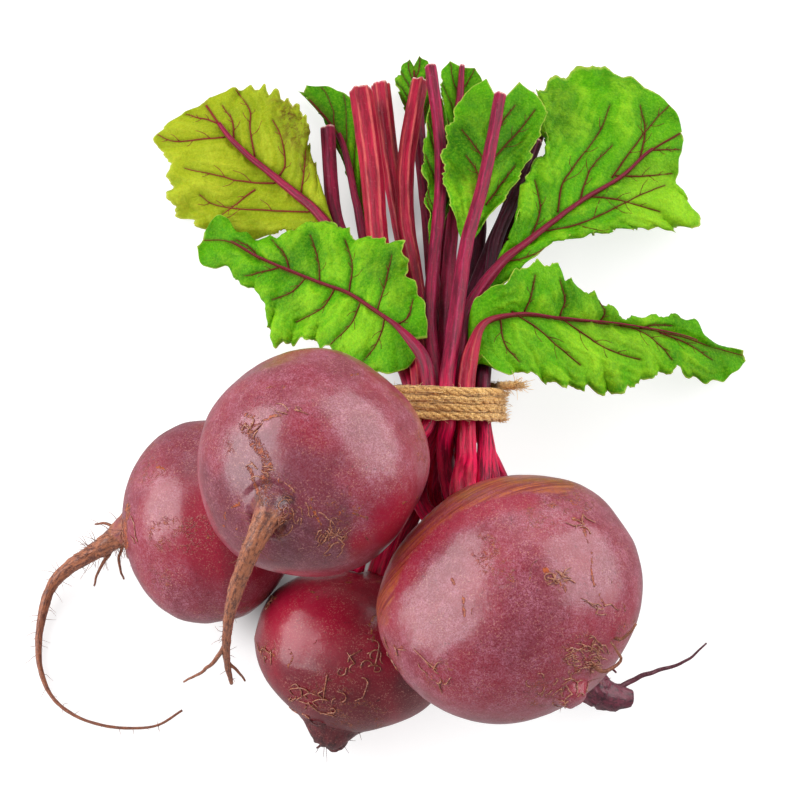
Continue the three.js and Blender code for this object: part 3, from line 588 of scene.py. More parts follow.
def beet(name, spec, material, slot):
    """One root: swollen part and collar as one skin, then the thin taproot, rootlets and hairs."""
    root = Root(spec)
    draw = draws(spec["seed"])
    phases = [draw() * TURN for _ in range(3)]
    rng = np.random.default_rng(spec["seed"])
    form = Form()
    sides = max(120, int(TURN * spec["radius"] / SKIN_STEP / 1.15))
    skin = add_skin(form, root, root.place <= root.collar_end, sides, 1.0, phases, rng)
    add_curls(form, spec, *skin)
    thin = root.place >= root.collar_end - OVERLAP
    if thin.sum() > 2:
        add_skin(form, root, thin, TAPROOT_SIDES, TAPROOT_SHARE, phases, rng)
    for points, thick, tip in spec["rootlets"]:
        thread(form, points, thick, tip * 0.7, wiggle=0.35, seed=spec["seed"], cork=0.5, root=1.0)
    add_hairs(form, root, rng)
    form.object(name + "_skin", material, slot, name)


# ---------------------------------------------------------------- stalks
TIE_CENTRE = np.array([15.5, -3.5, 50.0])
TIE_LEAN = math.radians(15)
TIE_OUT = np.array([0.0, -math.sin(TIE_LEAN), math.cos(TIE_LEAN)])
TIE_ALONG = np.array([0.0, math.cos(TIE_LEAN), math.sin(TIE_LEAN)])
LEAD = np.array([0.0, 7.0, 0.0])
STALK_FACE = 1.3  # length of a face along a stalk, mm

# Points in mm before and after the tie, with the place in the tie across and out of it, and radii from
# end to end. The scene's stalk ends at reach, a share of the route. A whole stalk runs out in its leaf and
# the others end in a cut. Between the two leafy shares a stalk turns into a midrib and gets slimmer.
STALKS = {
    "stalk_middle": dict(
        across=-0.2, out=11, radii=[3.6, 2.8, 2.6, 2.5, 2.3, 2.2, 2.1],
        before=[[20, -39, 40], [16, -29, 47], [14.5, -18, 58]],
        after=[[17, 14, 57], [20, 36, 51], [23, 55, 46], [27, 70, 43], [30, 83, 41], [35, 111, 37]]),
    "stalk_right_low": dict(
        across=6.2, out=10, ribbed=True, whole=True, reach=0.9, leafy=(0.34, 0.5), slimmer=0.64,
        radii=[4.2, 3.9, 2.9, 2.9, 1.7, 1.1, 0.9, 0.75, 0.6],
        before=[[22, -54, 74], [20, -38, 71], [21.5, -26, 61.5]],
        after=[[24, 13, 58], [28, 22, 56.5], [40, 27, 51], [54, 28, 43], [76, 30, 29], [98, 30, 16],
            [108, 28, 11], [121, 26, 5]]),
    "stalk_left_low": dict(
        across=-6.3, out=10.8, whole=True, reach=0.93, leafy=(0.36, 0.5), slimmer=0.62,
        radii=[3.2, 2.7, 2.4, 2.1, 1.4, 1.1, 0.95, 0.8, 0.6],
        before=[[-18, -27, 76], [-10, -20, 67], [-4, -21, 62], [3, -20, 60.5]],
        after=[[8, 8, 61], [-1, 21, 56], [-9, 29, 50], [-18, 38, 40], [-28, 44, 33], [-49, 57, 20],
            [-61, 66, 12], [-70, 68, 7]]),
    "stalk_cut_thick_left": dict(
        across=-9.6, out=5.2, ribbed=True, radii=[3, 2.7, 2.25, 2.45, 3.4, 3.9, 3.9],
        before=[[-15, -57, 37], [-11, -44, 45], [2, -24, 52.5]],
        after=[[2.5, 23, 44.5], [-4, 43, 36], [-7.5, 59, 31], [-10, 88, 26], [-14, 120, 18]]),
    "stalk_crimson_left": dict(
        across=-3.3, out=5.2, radii=[3.2, 2.5, 2.3, 2.2, 2.1, 2.1, 2.1],
        before=[[14, -44.5, 35], [6.5, -33, 39], [9, -20, 49]],
        after=[[10, 23, 49], [11.5, 48, 41], [14, 75, 33], [14, 99, 26], [11, 129, 19]]),
    "stalk_right_high": dict(
        across=2.9, out=4.8, whole=True, reach=0.93, leafy=(0.45, 0.7), slimmer=0.4,
        radii=[3, 2.6, 2.35, 2.3, 2.1, 1.6, 1.3, 1, 0.7],
        before=[[22, -52, 66], [21, -38, 61], [21, -22, 53.5]],
        after=[[20, 16, 51], [22, 28, 47], [34, 47, 43], [44, 57, 38], [63, 75, 28], [78, 87, 20],
            [89, 99, 14], [101, 108, 9]]),
    "stalk_dark_right": dict(
        across=12, out=4.8, radii=[2.8, 2.4, 2.3, 2.2, 2.2, 2.2],
        before=[[28, -54, 71], [26.8, -38, 66], [27.5, -22, 58.5]],
        after=[[28.5, 12, 50], [30, 34, 38], [33, 58, 33], [41, 79, 28], [48, 99, 23]]),
    "stalk_left_high": dict(
        across=-12.7, out=-0.3, whole=True, reach=0.95, radii=[3, 2.4, 2.2, 2.3, 2.2, 2, 1.7, 1.2, 0.8],
        before=[[-25, -22, 74], [-17, -15, 62], [-11, -20, 53], [-2, -19, 47.5]],
        after=[[-2.5, 18, 40.5], [-11, 40, 29.5], [-20, 60, 21], [-29, 75, 15], [-43, 89, 10], [-60, 105, 8],
            [-71, 121, 6]]),
    "stalk_cut_ribbed": dict(
        across=-6.5, out=-0.3, ribbed=True, radii=[3, 2.5, 2.4, 2.5, 2.9, 3, 3],
        before=[[-38, -44, 41.5], [-26, -40, 41], [-8, -28, 40], [3, -17, 43]],
        after=[[8, 24, 37], [4.5, 51, 28.5], [2, 68, 25.5], [2, 90, 21], [7, 126, 12.5]]),
    "stalk_crimson_middle": dict(
        across=-0.2, out=-0.3, radii=[3, 2.5, 2.5, 2.4, 2.1, 1.9, 1],
        before=[[18.3, -42.8, 29.3], [11.5, -32, 34], [13.5, -18, 44.5]],
        after=[[15.5, 29, 40], [17, 52, 31], [19, 75, 25], [20, 96, 19], [21.5, 120, 13], [22.5, 133, 10]]),
    "stalk_dark_inner": dict(
        across=6.1, out=-0.3, radii=[3, 2.6, 2.6, 2.5, 2.5, 2.5],
        before=[[23.2, -37.4, 33.8], [18, -27, 39], [21, -17, 45.5]],
        after=[[22.5, 23, 40], [25, 40, 30], [32, 60, 22], [41, 84, 17], [46, 121, 13]]),
    "stalk_dark_outer": dict(
        across=12.4, out=-1.4, radii=[2.8, 2.3, 2.3, 2.3, 2.3, 2.2],
        before=[[32, -52, 66], [31, -38, 61], [29, -20, 53]],
        after=[[30, 26, 34], [33, 42, 25], [39, 71, 14], [46, 96, 10], [52, 113, 8]]),
    "stalk_magenta_left": dict(
        across=-9.6, out=-6, radii=[3, 2.5, 2.4, 2.5, 2.6, 2.6],
        before=[[-39, -38, 35.5], [-26, -36, 34], [-8, -21, 34], [1, -12, 40]],
        after=[[-2, 27, 32], [-18, 62, 14], [-23, 76, 10], [-26, 110, 8]]),
    "stalk_cut_stub": dict(
        across=-2.8, out=-5.9, ribbed=True, radii=[3, 2.6, 2.4, 2.4, 2.6, 3.1, 3.2],
        before=[[-8, -58, 31], [-3, -44, 35], [5, -24, 36], [9, -14, 40]],
        after=[[12, 14, 37.5], [9.5, 24, 31], [5, 38, 24], [0, 71, 14], [-4, 100, 9], [-7, 127, 7]]),
    "stalk_cut_back": dict(
        across=3.2, out=-5.9, reach=0.94, radii=[3, 2.4, 2.4, 2.4, 2.3, 2.2],
        before=[[22.5, -39.6, 27.4], [16, -29, 31], [17.5, -16, 39.5]],
        after=[[16.5, 16, 40], [12.5, 36, 28], [10, 71, 16], [7, 105, 9], [5, 135, 6]]),
    "stalk_dark_low": dict(
        across=9.4, out=-6.2, radii=[2.6, 2.2, 2.2, 2.2, 2.2],
        before=[[37, -50, 58], [35, -35, 52], [29, -18, 44.5]],
        after=[[23, 32, 27], [28, 65, 12], [29, 90, 7], [31, 114, 5]]),
    "stalk_red_left": dict(
        across=-5.9, out=-11, whole=True, reach=0.9, radii=[2.8, 2.2, 1.9, 2, 2, 1.5, 1],
        before=[[-38, -34, 29], [-26, -31, 27.5], [-6, -17, 28], [5, -11, 34]],
        after=[[6.5, 14, 34.5], [-1, 33, 20], [-11, 60, 9], [-16, 84, 6], [-22, 108, 6], [-35, 125, 5]]),
    "stalk_red_low": dict(
        across=1.5, out=-11.7, radii=[2.8, 2.3, 2.2, 2.2, 2.2, 2.1],
        before=[[-3, -60, 26], [2, -44, 29], [10.5, -24, 29.5]],
        after=[[16.5, 14, 35], [15, 33, 21], [16, 67, 6], [17, 91, 2.4], [17, 118, 1.9]]),
}


def stalk_line(spec):
    """A stalk's middle from its root through the tie to its tip."""
    slot = TIE_CENTRE + ACROSS * spec["across"] + TIE_OUT * spec["out"]
    return catmull(np.vstack([spec["before"], slot - LEAD, slot + LEAD, spec["after"]]))


def stalk(name, spec, material, slot):
    """A leaf stalk with its ribs, groove and cut end."""
    sides, ribs, height = (42, 6, 0.07) if spec.get("ribbed") else (26, 5, 0.045)
    dense = stalk_line(spec)
    reach = spec.get("reach", 1.0)
    whole = length_of(dense) * reach
    shares = np.linspace(0, 1, int(whole / STALK_FACE))
    line = spaced(dense, shares * reach)
    in_leaf = smoothstep(shares * reach, *spec["leafy"]) if "leafy" in spec else 0 * shares
    radii = monotone(np.linspace(0, 1, len(spec["radii"])), spec["radii"], shares)
    radii = radii * (1 - spec.get("slimmer", 0) * in_leaf)
    seed = abs(len(name) + int(10 * spec["across"])) + 7
    phase = np.random.default_rng(seed).uniform(0, TURN)
    turn, along = turns(sides), shares[:, None]
    twist = turn + 0.5 * np.sin(3 * along + phase)
    ridge = np.cos(ribs * twist)
    ridges = height * ridge + 0.4 * height * np.cos(2 * ribs * twist + 1.3 + 4 * along)
    groove = 0.12 * np.exp(-(np.minimum(turn, TURN - turn) / 0.42) ** 2)
    rings = line[:, None] + around(*carried(line, UP), radii[:, None] * (1 + ridges - groove), turn)
    rings += 0.12 * shaken(rings, 5, 3, 9)
    end = unit(line[-1] - line[-2])
    rings[-1] += end * (0.5 * noise(rings[-1], 1.2, 5))[:, None]
    rings[..., 2] = np.maximum(rings[..., 2], 0.02)
    sides_at = {"side_x": np.cos(turn)[None, :], "side_y": np.sin(turn)[None, :]}
    cut = 0 * along if spec.get("whole") else smoothstep(along, 1 - 1.2 / whole, 1)
    marks = {"along": along * whole, "share": along, "in_leaf": in_leaf[:, None], "ridge": ridge, "cut": cut}
    form = Form()
    form.rings(rings, **marks, **sides_at)
    if not spec.get("whole"):
        inner = [rings[-1]]
        for part, depth in ((0.93, 0), (0.7, 1), (0.45, 1), (0.2, 1)):
            ring = line[-1] + (rings[-1] - line[-1]) * part
            inner.append(ring - end * (0.25 + 0.12 * noise(ring, 0.8, 9))[:, None] * depth)
        form.rings(np.array(inner), along=200.0, cut=1.0, ridge=0.0, share=1.0, **sides_at)
    form.object(name + "_stem", material, slot, name)


# ---------------------------------------------------------------- leaves
LEAF_THICKNESS = 0.55
SIDE_VEIN = (0.34, 0.17)   # thickness of the cord of a vein at its start and end, mm
FORKED_VEIN = (0.17, 0.09)
RULED_VEIN = (0.26, 0.12)
MIDRIB = (0.75, 0.35)

# A blade goes from the start share to the stop share of its stalk's route, with its left and right edges in
# mm and its middle this far under the stalk. Rows are its teeth, fine its faces along and across. The veins
# and the tones (kind, x, y, size, strength) are at pixels of the photograph.
SMALL = dict(tooth=1.6, bulge=0, under=0.7, fine=(70, 36), side_veins=5)  # with veins drawn by rule
BLADES = {
    "leaf_left_high": dict(
        stem="stalk_left_high", start=0.6, stop=1, rows=26, wave=1.6, tooth=2.2, bulge=1.2, seed=5, under=1,
        fine=(170, 110),
        left=[[-30, 70, 10], [-38, 74, 8], [-55, 69, 5], [-71, 73.5, 4], [-81.5, 81, 4], [-83, 91.5, 4],
            [-84, 100, 3], [-89, 107, 3], [-82, 115, 4], [-73, 119.5, 4]],
        right=[[-27, 80, 13], [-31, 96, 12], [-33, 104, 13], [-33, 110, 16], [-38, 117, 13], [-45, 123, 8],
            [-54, 127, 5], [-62, 126, 4], [-69, 123.5, 4]],
        veins=[[(217, 123), (200, 118), (186, 115)], [(225, 137), (205, 139), (172, 141), (157, 135)],
            [(275, 183), (245, 182), (218, 176), (185, 168)],
            [(310, 212), (260, 210), (215, 205), (200, 195)],
            [(255, 157), (250, 130), (250, 110), (236, 90)],
            [(278, 178), (285, 165), (282, 140), (273, 120)], [(234, 141), (232, 120), (222, 105)],
            [(255, 190), (235, 205), (222, 214)], [(300, 200), (304, 170), (306, 150)]],
        tones=[("brown", 300, 130, 34, 0.9), ("brown", 285, 105, 24, 0.7), ("brown", 312, 165, 20, 0.8),
            ("tone", 190, 160, 50, 0.3), ("tone", 250, 200, 60, -0.5), ("tone", 205, 115, 40, 0.2)]),
    "leaf_left_low": dict(
        stem="stalk_left_low", start=0.4, stop=1, rows=30, wave=2, tooth=2.4, bulge=2, seed=8, under=1.2,
        fine=(180, 112), midrib=(0.45, 0.2),
        left=[[6, 11, 57], [1, 6, 56], [-8, 6, 50.5], [-15, 11, 45], [-24, 18, 37], [-31, 24, 29],
            [-37, 25, 22], [-44, 26, 18], [-46, 35, 19], [-50, 45, 16], [-56, 49, 14], [-61, 56, 11],
            [-70, 58, 8], [-72, 65, 7]],
        right=[[9, 17, 57.5], [8.5, 28, 55], [3, 41, 50], [1, 51, 47], [-6, 57, 41], [-15, 60, 34],
            [-24, 68, 28], [-33, 68, 24], [-40, 65, 20], [-49, 66, 16], [-57, 69, 13], [-64, 76, 10],
            [-69.5, 71, 8]],
        veins=[[(260, 260), (250, 248), (236, 240)], [(290, 272), (285, 255), (272, 240)],
            [(320, 285), (318, 260), (310, 235)], [(349, 292), (352, 265), (345, 240)],
            [(377, 311), (385, 285), (392, 255)], [(280, 268), (262, 272), (245, 276)],
            [(305, 279), (292, 292), (272, 300)], [(335, 289), (322, 308), (296, 322)],
            [(362, 300), (352, 322), (330, 345)], [(385, 318), (378, 342), (362, 362)],
            [(397, 325), (408, 318), (413, 300)]],
        tones=[("tone", 235, 245, 45, -0.35), ("tone", 300, 262, 40, -0.8), ("tone", 335, 250, 36, -0.3),
            ("tone", 300, 310, 42, 0.35), ("tone", 370, 330, 32, 0.6), ("tone", 385, 265, 36, -0.75),
            ("tone", 405, 290, 30, -0.5), ("tone", 345, 345, 26, 0.4)]),
    "leaf_right_high": dict(
        stem="stalk_right_high", start=0.43, stop=1, rows=28, wave=1.8, tooth=2.4, bulge=1.6, seed=13,
        under=1.1, fine=(180, 112),
        left=[[32, 45, 40], [38, 58, 40], [42, 71, 37], [45, 86, 31], [51, 95, 27], [50, 112, 20],
            [50, 122, 16], [58, 128, 10], [69, 134, 7], [78, 133, 6], [88, 127, 5], [96, 122, 5],
            [100, 115, 6], [101.5, 109.5, 6]],
        right=[[36, 41, 41], [44, 49, 40], [55, 59, 34], [70, 64, 26], [84, 68, 18], [96, 70, 12],
            [106, 72, 9], [105, 79, 8], [99, 88, 8], [100, 97, 8], [102, 106, 7]],
        veins=[[(530, 240), (540, 210), (535, 180)],
            [(558, 212), (562, 185), (575, 165), (600, 130), (610, 105)],
            [(580, 200), (590, 170), (612, 145)], [(612, 178), (635, 145), (655, 120), (670, 105)],
            [(640, 158), (645, 130), (640, 105)], [(615, 176), (645, 176), (672, 174)],
            [(540, 232), (575, 225), (600, 215), (640, 195), (665, 185)],
            [(505, 262), (530, 256), (555, 245)], [(650, 150), (668, 150), (680, 150)],
            [(590, 196), (620, 200), (660, 212)]],
        tones=[("tone", 655, 190, 70, 0.5), ("tone", 560, 120, 50, -0.45), ("tone", 655, 205, 42, 0.8),
            ("tone", 545, 185, 36, -0.2), ("tone", 690, 215, 26, 0.6), ("tone", 560, 95, 30, -0.4)]),
    "leaf_right_low": dict(
        stem="stalk_right_low", start=0.33, stop=1, rows=30, wave=2, tooth=2.4, bulge=1.6, seed=21,
        under=1.8, fine=(180, 112), midrib=(0.42, 0.2),
        left=[[23, 17, 54], [23.5, 27, 53], [28, 34, 54.5], [34, 36, 54.5], [42, 43, 52], [54, 46, 44],
            [58, 41, 41], [68, 37, 34], [77, 33, 28], [88, 35, 20], [104, 36, 12], [108, 30, 10],
            [121, 27.5, 3.5]],
        right=[[27, 11, 57.5], [31, 6, 57.5], [36, 5, 54], [41, 7, 50], [49, 5, 45], [61, 5, 37],
            [71, 5, 30], [85, 12, 22], [95, 17, 16], [108, 15, 8], [117, 19, 5], [122, 24.5, 3.5]],
        veins=[[(512, 312), (540, 330), (560, 348), (580, 365)],
            [(560, 318), (585, 335), (610, 350), (640, 360)],
            [(620, 325), (645, 333), (660, 345), (672, 360)], [(525, 312), (532, 292), (535, 275)],
            [(560, 316), (565, 300), (560, 280)], [(600, 322), (605, 312), (600, 302)],
            [(500, 318), (505, 345), (520, 362)], [(660, 333), (690, 345), (712, 360)],
            [(640, 328), (655, 325), (672, 326)]],
        tones=[("tone", 585, 325, 110, 0.25), ("tone", 520, 290, 34, -0.2), ("tone", 560, 305, 30, -0.5),
            ("tone", 590, 350, 40, 0.5), ("tone", 650, 350, 40, 0.4), ("tone", 510, 350, 30, 0.3),
            ("tone", 700, 350, 40, -0.2), ("tone", 540, 270, 24, 0.3)]),
    "leaf_middle_cut": dict(
        stem="stalk_middle", start=0.62, stop=0.985, rows=14, wave=1.4, tooth=1.6, bulge=-1.5, seed=34,
        under=1, fine=(120, 80),
        left=[[22, 54, 42], [18, 68, 39], [15, 82, 36], [17, 101, 31], [22, 114, 28], [30.5, 120.5, 29]],
        right=[[26, 58, 42], [34, 70, 40], [42, 83, 36], [49, 99, 31], [51, 111, 29], [42, 118.5, 30]],
        veins=[[(488, 170), (478, 150), (462, 130)], [(484, 195), (476, 170), (466, 155)],
            [(492, 160), (515, 135), (535, 110)], [(486, 205), (500, 185), (515, 165)],
            [(494, 135), (505, 118), (515, 105)]],
        # The deep tones of this blade are painted shade: it lies in shadow behind the stalks.
        tones=[("tone", 465, 150, 46, -0.9), ("tone", 520, 150, 40, -0.7), ("tone", 480, 110, 34, -0.6),
            ("brown", 475, 185, 26, 0.5)]),
    "leaf_folded": dict(SMALL,
        stem="stalk_crimson_left", start=0.58, stop=0.9, rows=10, wave=1.2, seed=55, under=1.1,
        left=[[10, 57, 36], [9.5, 72, 31.5], [8.5, 90, 27], [9.5, 104, 23.5], [10.5, 114, 21.5]],
        right=[[14, 60, 33], [18, 76, 29.5], [18.5, 92, 26], [17, 106, 23], [15, 116, 21]],
        tones=[("tone", 430, 170, 90, -0.6)]),
    "leaf_top_cut": dict(SMALL,
        stem="stalk_crimson_middle", start=0.7, stop=1, rows=10, wave=1.2, seed=63,
        left=[[17, 92, 17], [15.5, 106, 14], [15, 120, 12], [15, 130, 10.5], [18, 135, 9.5]],
        right=[[22.5, 96, 17], [28, 106, 15.5], [31, 117, 13], [30, 126, 11], [27, 132, 10]],
        tones=[("tone", 460, 90, 50, -0.2)]),
    "leaf_back_cut": dict(SMALL,
        stem="stalk_cut_back", start=0.84, stop=1, rows=8, wave=1, seed=77,
        left=[[3, 114, 5], [0, 124, 4.5], [-1, 132, 4], [3.5, 138.5, 4]],
        right=[[10, 116, 5], [12, 126, 4.5], [12.5, 134, 4], [7, 139.5, 4]],
        tones=[("tone", 400, 85, 50, -0.1)]),
    "leaf_left_tip": dict(SMALL,
        stem="stalk_red_left", start=0.62, stop=1, rows=12, wave=1, tooth=1.8, seed=89,
        left=[[-14, 68, 4], [-17, 84, 3], [-19.5, 97, 3], [-24.5, 108, 3], [-29, 118, 3], [-37, 126, 4]],
        right=[[-9, 68, 5], [-11, 84, 4], [-14, 102, 4], [-17, 120, 4], [-22, 126.5, 4], [-34, 128, 4]],
        tones=[("tone", 330, 120, 60, -0.6)]),
}


def blade_grid(spec, rows, columns):
    """The blade's middle surface: fine points, their places along it and across, and 1 away from its ends."""
    stem = STALKS[spec["stem"]]
    coarse, seed = spec["rows"], spec["seed"]
    draw = draws(seed)
    lifts, bites = np.zeros((coarse + 1, 2)), np.zeros((coarse + 1, 2))
    for k in range(coarse + 1):
        for side in (0, 1):
            lifts[k, side] = spec["wave"] * (draw() - 0.5 + 0.6 * math.sin(k * 1.9 + side * 2 + seed))
            bites[k, side] = spec["tooth"] * ((0.5 if k % 2 else -0.5) + 0.6 * (draw() - 0.5))
    u, t = np.linspace(0, 1, rows + 1), np.linspace(-1, 1, columns + 1)
    along = spec["start"] + (spec["stop"] - spec["start"]) * u
    rib = spaced(stalk_line(stem), along)
    rib[:, 2] -= mixed(stem["radii"], np.minimum(1, along / stem.get("reach", 1.0))) + spec["under"]
    edges = [spaced(catmull(spec[side]), u) for side in ("left", "right")]
    stations = np.arange(coarse + 1) / coarse
    ends = np.minimum(1, np.minimum(4 * u, 4 * (1 - u)))
    grid = np.zeros((rows + 1, columns + 1, 3))
    for i, place in enumerate(t):
        side, share = int(place >= 0), abs(place)
        outward = edges[side] - rib
        bite = monotone(stations, bites[:, side], u) * share**3
        nick = 0.8 * noise(rib + edges[side], 1.7, seed) * ends * share**8
        grid[:, i] = rib + outward * share + unit(outward * [1, 1, 0]) * ((bite + nick) * ends)[:, None]
        arch = spec["bulge"] * np.sin(math.pi * share) * ends
        grid[:, i, 2] += arch + monotone(stations, lifts[:, side], u) * share**2
    return grid, t, ends


def ruled_veins(spec, grid):
    """Lines of side veins from the midrib towards the margin, on both sides of a small blade."""
    rng = np.random.default_rng(spec["seed"])
    rows, columns = grid.shape[0] - 1, grid.shape[1] - 1
    count = spec.get("side_veins", 0)
    shares = np.linspace(0, 0.93, 7)
    lines = []
    for side in (-1, 1):
        for k in range(count):
            start = (k + rng.uniform(0.2, 0.8)) / (count + 0.6)
            u = np.minimum(0.99, start + rng.uniform(0.13, 0.24) * shares**1.3)
            i = (np.clip(0.5 + 0.5 * side * shares, 0, 1) * columns).round().astype(int)
            lines.append(grid[(u * rows).round().astype(int), i])
    return lines


def forked(line, rng):
    """A side vein's own branches, to alternate sides, each curving towards the tip."""
    smooth = catmull(on_plane(line), 8)[:, :2]
    whole = np.linalg.norm(smooth[-1] - smooth[0])
    made = []
    for k, share in enumerate((0.3, 0.48, 0.64, 0.8)):
        here = int(share * (len(smooth) - 2))
        way = smooth[here + 1] - smooth[here]
        side = (-1) ** k
        turn = math.atan2(way[1], way[0]) + side * rng.uniform(0.55, 0.95)
        reach = whole * rng.uniform(0.16, 0.34) * (1.15 - share)
        middle = smooth[here] + reach * 0.6 * np.array([math.cos(turn), math.sin(turn)])
        turn -= side * 0.35
        made.append([smooth[here], middle, middle + reach * 0.5 * np.array([math.cos(turn), math.sin(turn)])])
    return made


def laid_on(top, tree, line, seed):
    """A vein drawn in the picture, laid on the blade's upper side."""
    smooth = catmull(on_plane(line), 10)
    smooth[:, :2] += 0.8 * shaken(smooth, 9.0, seed, 40)[:, :2]
    placed = []
    for point in smooth:
        found = tree.find_n(point, 4)
        if found[0][2] <= 2.5:
            weights = [1 / (0.05 + away) for _, _, away in found]
            placed.append(np.average(top[[index for _, index, _ in found]], axis=0, weights=weights))
    return np.array(placed)


def add_cords(form, spec, top, shape):
    """Side veins, their branches and the midrib as fine cords sunk in the blade's upper side."""
    rng = np.random.default_rng(spec["seed"] + 9)
    tree = tree_of(on_plane(in_picture(top)))
    veins = spec.get("veins", [])
    drawn = [(line, SIDE_VEIN) for line in veins]
    drawn += [(line, FORKED_VEIN) for vein in veins for line in forked(vein, rng)]
    for line, thickness in drawn:
        placed = laid_on(top, tree, line, spec["seed"])
        if len(placed) > 4:
            placed[1:-1] = (placed[:-2] + placed[1:-1] + placed[2:]) / 3
            thread(form, placed, *thickness, sides=5, cord=1.0)
    grid = top.reshape(shape)
    middle = grid[3:-1:4, shape[1] // 2]
    thread(form, middle + [0, 0, 0.1], *spec.get("midrib", MIDRIB), sides=7, step=1.0, cord=1.0)
    for line in ruled_veins(spec, grid):
        thread(form, line, *RULED_VEIN, sides=5, step=1.0, cord=1.0)


def vein_marks(spec, grid, points, pixels):
    """How much of a vein each point of a blade has, and its distance from the nearest one, mm."""
    vein = np.zeros(len(points))
    gap = np.full(len(points), 99.0)
    for line in spec.get("veins", []):
        smooth = catmull(on_plane(line), 6)[:, :2]
        away = near_line(pixels, smooth) * MM_PER_PIXEL
        gone = np.linalg.norm(pixels - smooth[0], axis=1) / np.linalg.norm(smooth[-1] - smooth[0])
        gap = np.minimum(gap, away)
        vein = np.maximum(vein, near(away, 0, 1.2 - 0.35 * np.clip(gone, 0, 1)))
    for line in ruled_veins(spec, grid):
        away = near_line(points, line)
        gap = np.minimum(gap, away)
        vein = np.maximum(vein, 0.8 * near(away, 0, 0.8))
    return vein, gap


def leaf_tones(spec, pixels):
    """Lighter, deeper and browned places of a blade; the deeper places are partly painted shade."""
    marks = {"tone": np.zeros(len(pixels)), "brown": np.zeros(len(pixels))}
    for kind, x, y, size, strength in spec["tones"]:
        away = np.linalg.norm(pixels - (x, y), axis=1)
        marks[kind] = marks[kind] + strength * near(away, 0.2 * size, size)
    return marks


def blade_faces(n, m, turned):
    """Faces of the upper side, the lower side and the rim between two sheets of n by m points."""
    i, j = np.meshgrid(np.arange(n - 1), np.arange(m - 1), indexing="ij")
    a = (i * m + j).ravel()
    upper = np.stack([a, a + 1, a + m + 1, a + m], axis=1)
    total = n * m
    rim = np.concatenate([np.arange(m - 1), m - 1 + m * np.arange(n - 1),
                          total - 1 - np.arange(m - 1), total - m - m * np.arange(n - 1)])
    after = np.roll(rim, -1)
    side = np.stack([after, rim, rim + total, after + total], axis=1)
    back = [0, 3, 2, 1]
    if turned:
        return np.vstack([upper[:, back], upper + total, side[:, [1, 0, 3, 2]]])
    return np.vstack([upper, upper[:, back] + total, side])


def leaf(name, spec, material, slot):
    """A blade with its teeth, puckers and veins."""
    rows, columns = spec["fine"]
    seed = spec["seed"]
    grid, t, ends = blade_grid(spec, rows, columns)
    points = grid.reshape(-1, 3)
    pixels = in_picture(points)
    inner = np.repeat(ends, columns + 1)
    share = np.tile(np.abs(t), rows + 1)
    half_width = np.linalg.norm(grid[:, -1] - grid[:, 0], axis=1).repeat(columns + 1) / 2
    midrib = near(share * half_width, 0.6, 1.8)
    vein, gap = vein_marks(spec, grid, points, pixels)
    vein = np.maximum(vein, 0.9 * midrib)
    pucker = 0.9 * noise(points, 9, seed) + 0.6 * noise(points, 4, seed + 1)
    quilt = np.minimum(1, gap / 4.0)
    folds = np.sin(2.2 * gap + 2.5 * noise(points, 12, seed + 5)) * smoothstep(gap, 0.5, 3)
    lift = (pucker * (0.3 + 0.7 * quilt) - 0.45 * vein + 0.7 * quilt + 0.16 * folds) * inner
    lift *= smoothstep(1 - share, 0, 0.1)
    ruffle = 1.5 * noise(points, 6.0, seed + 2) * share**6 * inner
    normal = unit(np.cross(np.gradient(grid, axis=1), np.gradient(grid, axis=0)).reshape(-1, 3))
    normal[normal[:, 2] < 0] *= -1
    raised = points + normal * (lift + ruffle)[:, None]
    half = LEAF_THICKNESS * (0.35 + 0.65 * smoothstep(1 - share, 0, 0.06)) / 2
    top = raised + normal * (half + 0.25 * midrib)[:, None]
    low = raised - normal * (half + 0.30 * vein)[:, None]
    top[:, 2] = np.maximum(top[:, 2], 0.35)
    low[:, 2] = np.maximum(low[:, 2], 0.05)
    turned = np.cross(top[1] - top[0], top[columns + 1] - top[0])[2] <= 0
    # high holds the height of the relief, which the look uses for painted highlight on swellings and painted
    # shade in hollows.
    marks = {"vein": vein, "high": np.clip(0.5 + 0.42 * (lift - 0.25), 0, 1), "wide": quilt,
             "margin": np.maximum(share, 1 - inner), **leaf_tones(spec, pixels)}
    marks = {key: np.tile(value, 2) for key, value in marks.items()}
    marks["under"] = np.repeat([0.0, 1.0], len(points))
    form = Form()
    form.add(np.vstack([top, low]), blade_faces(*grid.shape[:2], turned), **marks)
    add_cords(form, spec, top, grid.shape)
    form.object(name + "_blade", material, slot, name)


# ---------------------------------------------------------------- twine
TWINE_RADIUS = 1.3
TWINE_PITCH = 2.85
TWINE_TURNS = 4
TWINE_START = -1.5
TWINE_EXTRA = 1.55
TWINE_ENDS = [(0.2, 3.2), (0.32, 6.5)]
TIE_RADIUS = 17.8
TIE_HALF = TWINE_TURNS * TWINE_PITCH / 2  # from the middle of the winding to its last turn, mm
WOUND_POINTS = 89
STRANDS = 3
STRAND_RADIUS = 0.78
STRAND_OFFSET = 0.62
STRAND_PITCH = 9.5  # length of twine in which its strands go once round, mm
LAID_FIBRES, LOOSE_FIBRES, SIDE_FIBRES, END_FIBRES = 420, 620, 260, 60


def twine_line():
    """The middle of the twine, wound round the stalks from one loose end to the other."""
    sweep = TURN * TWINE_TURNS + TWINE_EXTRA

    def place(turn, out, shift):
        reach = TIE_RADIUS + out
        out_of_tie = ACROSS * math.cos(turn) + TIE_OUT * math.sin(turn)
        return TIE_CENTRE + out_of_tie * reach + TIE_ALONG * shift

    shares = np.linspace(0, 1, WOUND_POINTS)
    wound = [place(TWINE_START + u * sweep, 0, TIE_HALF * (2 * u - 1)) for u in shares]
    first = [place(TWINE_START - turn, out, -TIE_HALF) for turn, out in reversed(TWINE_ENDS)]
    last = [place(TWINE_START + sweep + turn, out, TIE_HALF) for turn, out in TWINE_ENDS]
    return catmull(first + wound + last, 12)


